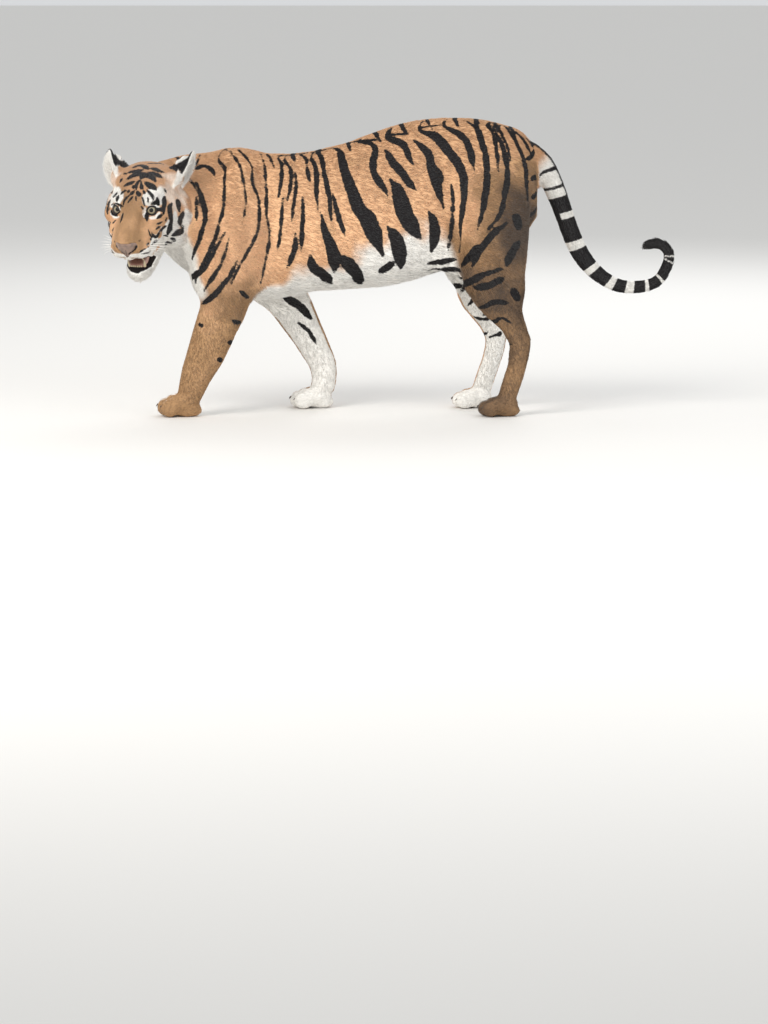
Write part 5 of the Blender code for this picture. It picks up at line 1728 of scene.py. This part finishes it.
# %% The tree that scatters tufts
def tuft_tree(material):
    tree = bpy.data.node_groups.new("tufts on skin", "GeometryNodeTree")
    sockets = {}
    face = tree.interface
    face.new_socket("Geometry", in_out="INPUT", socket_type="NodeSocketGeometry")
    for name, value in (("Density", 1.0), ("Length", 1.0), ("Width", 1.0), ("Lift", 0.15), ("Spread", 0.2)):
        socket = face.new_socket(name, in_out="INPUT", socket_type="NodeSocketFloat")
        socket.default_value = value
        sockets[name] = socket.identifier
    seed = face.new_socket("Seed", in_out="INPUT", socket_type="NodeSocketInt")
    sockets["Seed"] = seed.identifier
    face.new_socket("Geometry", in_out="OUTPUT", socket_type="NodeSocketGeometry")
    given = add(tree, "NodeGroupInput").outputs

    hair, density, lie, unwrap, marks, patch, root_place = (
        add(tree, "GeometryNodeInputNamedAttribute", {"Name": name}, data_type=kind).outputs[0]
        for name, kind in (("hair", "FLOAT"), ("density", "FLOAT"), ("lie", "FLOAT_VECTOR"),
                           ("unwrap", "FLOAT_VECTOR"), ("marks", "FLOAT_VECTOR"), ("patch", "FLOAT_VECTOR"),
                           ("root_place", "FLOAT_VECTOR"))
    )

    def product(*values):
        """Numbers multiplied one after the other."""
        result = values[0]
        for value in values[1:]:
            result = add(tree, "ShaderNodeMath", {0: result, 1: value}, operation="MULTIPLY").outputs[0]
        return result

    def chance(low, high, number):
        """A number for each tuft, from a seed of its own."""
        seed = add(tree, "ShaderNodeMath", {0: given["Seed"], 1: number}, operation="ADD").outputs[0]
        inputs = {2: low, 3: high, "Seed": seed}
        return add(tree, "FunctionNodeRandomValue", inputs, data_type="FLOAT").outputs[1]

    # Roots, each with its place on the unwrap and a tone of its own
    number = product(given["Density"], density)
    inputs = {"Mesh": given["Geometry"], "Density": number, "Seed": given["Seed"]}
    scatter = add(tree, "GeometryNodeDistributePointsOnFaces", inputs)
    normal, roots = scatter.outputs["Normal"], scatter.outputs["Points"]
    tone = chance(0.91, 1.07, 11)
    for name, value, kind in (("root_place", unwrap, "FLOAT_VECTOR"), ("tone", tone, "FLOAT")):
        inputs = {"Geometry": roots, "Name": name, "Value": value}
        roots = add(tree, "GeometryNodeStoreNamedAttribute", inputs, data_type=kind,
                    domain="POINT").outputs[0]
    # Each tuft points along the lie of the coat, swung to one side and lifted by chance
    side = add(tree, "ShaderNodeVectorMath", {0: normal, 1: lie}, operation="CROSS_PRODUCT").outputs[0]
    inputs = {0: side, "Scale": product(chance(-1, 1, 1), given["Spread"])}
    across = add(tree, "ShaderNodeVectorMath", inputs, operation="SCALE").outputs[0]
    inputs = {0: normal, "Scale": product(given["Lift"], chance(0.4, 1.5, 2))}
    rise = add(tree, "ShaderNodeVectorMath", inputs, operation="SCALE").outputs[0]
    way = add(tree, "ShaderNodeVectorMath", {0: lie, 1: across}, operation="ADD").outputs[0]
    way = add(tree, "ShaderNodeVectorMath", {0: way, 1: rise}, operation="ADD").outputs[0]
    turn = add(tree, "FunctionNodeAlignRotationToVector", {"Vector": way}, axis="Z").outputs[0]
    turn = add(tree, "FunctionNodeAlignRotationToVector", {"Rotation": turn, "Vector": normal},
               axis="Y", pivot_axis="Z").outputs[0]
    # Its length follows the stored one, and its width the length, between two bounds
    long = product(hair, given["Length"], chance(0.7, 1.15, 3))
    inputs = {0: hair, 1: WIDTH_FOR_LENGTH, 2: THINNEST}
    wide = add(tree, "ShaderNodeMath", inputs, operation="MULTIPLY_ADD").outputs[0]
    wide = add(tree, "ShaderNodeMath", {0: wide, 1: THICKEST}, operation="MINIMUM").outputs[0]
    wide = product(wide, given["Width"], chance(0.7, 1.2, 4))
    size = add(tree, "ShaderNodeCombineXYZ", {0: wide, 1: wide, 2: long}).outputs[0]
    blade = add(tree, "GeometryNodeObjectInfo", {"Object": TUFT}).outputs["Geometry"]
    inputs = {"Points": roots, "Instance": blade, "Rotation": turn, "Scale": size}
    tufts = add(tree, "GeometryNodeInstanceOnPoints", inputs).outputs[0]
    tufts = add(tree, "GeometryNodeRealizeInstances", {"Geometry": tufts}).outputs[0]
    # Every corner of a tuft takes the markings of the skin under it, so that thin stripes stay whole
    patch = add(tree, "ShaderNodeVectorMath", {0: patch, "Scale": PATCH}, operation="SCALE").outputs[0]
    spot = add(tree, "ShaderNodeVectorMath", {0: root_place, 1: patch}, operation="ADD").outputs[0]
    inputs = {"Geometry": tufts, "Name": "OFBake", "Value": spot}
    tufts = add(tree, "GeometryNodeStoreNamedAttribute", inputs, data_type="FLOAT2",
                domain="CORNER").outputs[0]
    inputs = {"Mesh": given["Geometry"], "Value": marks}
    under = add(tree, "GeometryNodeSampleNearestSurface", inputs, data_type="FLOAT_VECTOR").outputs[0]
    inputs = {"Geometry": tufts, "Name": "marks", "Value": under}
    tufts = add(tree, "GeometryNodeStoreNamedAttribute", inputs, data_type="FLOAT_VECTOR",
                domain="POINT").outputs[0]
    for name in ("root_place", "patch", "lie", "hair", "density", "unwrap", "bare", "inside"):
        tufts = add(tree, "GeometryNodeRemoveAttribute", {"Geometry": tufts, "Name": name}).outputs[0]
    inputs = {"Geometry": tufts, "Material": material}
    add(tree, "NodeGroupOutput", {0: add(tree, "GeometryNodeSetMaterial", inputs).outputs[0]})
    return tree, sockets


TREE, SOCKETS = tuft_tree(hair_material())

# %% [markdown]
# The coat is cut into zones, so that no piece is too heavy. Each zone has an unwrap of its own, rolled off
# the skin round the part's own axis: the trunk round its spine, a leg round its bones, the tail round its
# line. A tuft's whole patch sits at its root's place there.

# %% Unwrapping a zone round its axis
FACES = np.empty(len(skin.data.polygons) * 3, np.int32)
skin.data.polygons.foreach_get("vertices", FACES)
FACES = FACES.reshape(-1, 3)
FINAL_PLACES = coordinates(skin.data)


def rolled(start, end, up=(0, 0, 1)):
    """How far along the axis and how far round it, for the corners of every face."""
    start, end = np.array(start, float), np.array(end, float)
    axis = (end - start) / np.linalg.norm(end - start)
    first = np.cross(axis, up)
    first /= np.linalg.norm(first)
    second = np.cross(axis, first)
    away = FINAL_PLACES - start
    return away @ axis, np.arctan2(away @ first, away @ second) / (2 * math.pi) + 0.5


def corner_unwrap(along, round_, mask):
    """Corner places in the unit square, with faces that cross the seam carried over it."""
    u, v = along[FACES], round_[FACES].copy()
    crossing = v.max(axis=1) - v.min(axis=1) > 0.5
    v[crossing] += (v[crossing] < 0.5) * 1.0
    used = mask[FACES].max(axis=1) > 0
    for values in (u, v):
        low, high = values[used].min(), values[used].max()
        values[:] = np.clip((values - low) / max(high - low, 1e-6), 0, 1) * (0.996 - PATCH) + 0.002
    return np.stack([u, v, np.zeros_like(u)], axis=2).reshape(-1, 3)


def tail_round():
    side = np.cross(TAIL_WAYS[nearest_step], tail_up)
    away = FINAL_PLACES - TAIL_PLACES[nearest_step]
    up, aside = np.einsum("ij,ij->i", away, tail_up), np.einsum("ij,ij->i", away, side)
    return np.arctan2(up, aside) / (2 * math.pi) + 0.5


def head_round(side):
    away = HEAD_PLACES - np.array(SKULL_AT)
    azimuth = np.arctan2(away[:, 1] * side, away[:, 0]) / math.pi
    return azimuth * 0.2, np.arcsin(np.clip(away[:, 2] / np.linalg.norm(away, axis=1), -1, 1)) / math.pi + 0.5


# %% Where tufts grow thick
covered = np.clip(1 - 2.5 * bare, 0, 1)
covered *= smoothstep(4.0, 7.0, np.where(eye_gap < EYE_RADIUS * 2.2, around_eye, 90))
leather_here = (HEAD_A > 0.08) * (np.abs(HEAD_L) < leather_half_width(HEAD_B) + 0.001)
leather_here = leather_here * (HEAD_B < -0.040) * (HEAD_B > -0.096)
covered *= 1 - leather_here
covered *= 1 - 0.97 * ON_PAW * (SKIN_NORMALS[:, 2] < -0.6)
crowd = (0.020 / np.clip(hair, 0.006, 0.03)) ** 1.1
density = covered * np.where(ON_HEAD > 0, np.minimum(crowd, 3.0), np.minimum(crowd, 1.6))


def coat_piece(name, mask, count, unwrap, seed,
               length=1.0, width=0.85, lift=0.11, spread=0.20):
    """One zone of the coat: about this many tufts on the skin under the mask."""
    mesh = skin.data.copy()
    mesh.materials.clear()
    weight = density * mask
    store(mesh, "density", weight)
    store(mesh, "unwrap", corner_unwrap(*unwrap, mask), "FLOAT_VECTOR", "CORNER")
    areas = np.empty(len(mesh.polygons), np.float32)
    mesh.polygons.foreach_get("area", areas)
    per_metre = count / float((areas * weight[FACES].mean(axis=1)).sum())
    bm = bmesh.new()
    bm.from_mesh(mesh)
    bm.faces.ensure_lookup_table()
    empty = np.nonzero(mask[FACES].max(axis=1) == 0)[0]
    bmesh.ops.delete(bm, geom=[bm.faces[i] for i in empty], context="FACES")
    bm.to_mesh(mesh)
    bm.free()
    base = new_object(name, mesh)
    modifier = base.modifiers.new("Tufts", "NODES")
    modifier.node_group = TREE
    values = {"Density": per_metre, "Length": length, "Width": width, "Lift": lift, "Spread": spread}
    for key, value in values.items():
        modifier[SOCKETS[key]] = float(value)
    modifier[SOCKETS["Seed"]] = seed
    finish_modifiers(base)
    bpy.data.meshes.remove(mesh)
    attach(base, "root")
    base.data.name = name
    print(f"{name}: {len(base.data.polygons)} triangles")
    return len(base.data.polygons)


# %% Growing the coat, zone by zone
def leg_axis(*nodes):
    top, bottom = middle(nodes[0]), middle(nodes[-1])
    return (top.x, top.y, top.z + 0.1), (bottom.x, bottom.y, bottom.z)


# About how many tufts grow on each zone
TUFTS = {"trunk": 16000, "shoulder": 8000, "haunch": 9000, "leg": 6200, "head": 19000, "ear": 1100,
         "neck": 14000, "tail": 7800}
TRUNK = of_nodes("chest", "hindquarters")
SPINE_AXIS = ((-0.7, SPINE_Y, 0.62), (0.5, SPINE_Y, 0.66))
triangles = 0
for side, half, half_head, way, spin in (
    ("left", SIDE < 0, HEAD_L > 0, 1, 0),
    ("right", SIDE >= 0, HEAD_L <= 0, -1, 40),
):
    triangles += coat_piece(f"coat_trunk_{side}", TRUNK * half, TUFTS["trunk"], rolled(*SPINE_AXIS), 1 + spin)
    arm, thigh = of_nodes(f"upper_arm_{side}"), of_nodes(f"thigh_{side}")
    triangles += coat_piece(f"coat_shoulder_{side}", arm, TUFTS["shoulder"], rolled(*SPINE_AXIS), 2 + spin)
    triangles += coat_piece(f"coat_haunch_{side}", thigh, TUFTS["haunch"], rolled(*SPINE_AXIS), 3 + spin)
    fore = of_nodes(f"forearm_{side}", f"forepaw_{side}")
    hind = of_nodes(f"shank_{side}", f"metatarsus_{side}", f"hindpaw_{side}")
    axis = leg_axis(f"forearm_{side}", f"forepaw_{side}")
    triangles += coat_piece(f"coat_foreleg_{side}", fore, TUFTS["leg"], rolled(*axis, up=(1, 0, 0)), 4 + spin)
    axis = leg_axis(f"shank_{side}", f"hindpaw_{side}")
    triangles += coat_piece(f"coat_hindleg_{side}", hind, TUFTS["leg"], rolled(*axis, up=(1, 0, 0)), 5 + spin)
    triangles += coat_piece(f"coat_head_{side}", ON_HEAD * half_head, TUFTS["head"], head_round(way),
                            6 + spin, lift=0.10, spread=0.16)
    ear_in = of_nodes(f"ear_{side}") * (ear_white > 0.6) * smoothstep(0.9, 0.3, ear_up)
    triangles += coat_piece(f"coat_ear_{side}", ear_in, TUFTS["ear"], head_round(way), 9 + spin,
                            length=2.3, width=0.6, lift=0.34, spread=0.35)
neck_axis = ((-0.55, SPINE_Y, 0.66), tuple(SKULL_MIDDLE))
triangles += coat_piece("coat_neck", ON_NECK, TUFTS["neck"], rolled(*neck_axis), 7)
triangles += coat_piece("coat_tail", ON_TAIL, TUFTS["tail"], (TAIL_AT, tail_round()), 8,
                        spread=0.15)
bpy.data.objects.remove(TUFT)
print("coat:", triangles, "triangles")
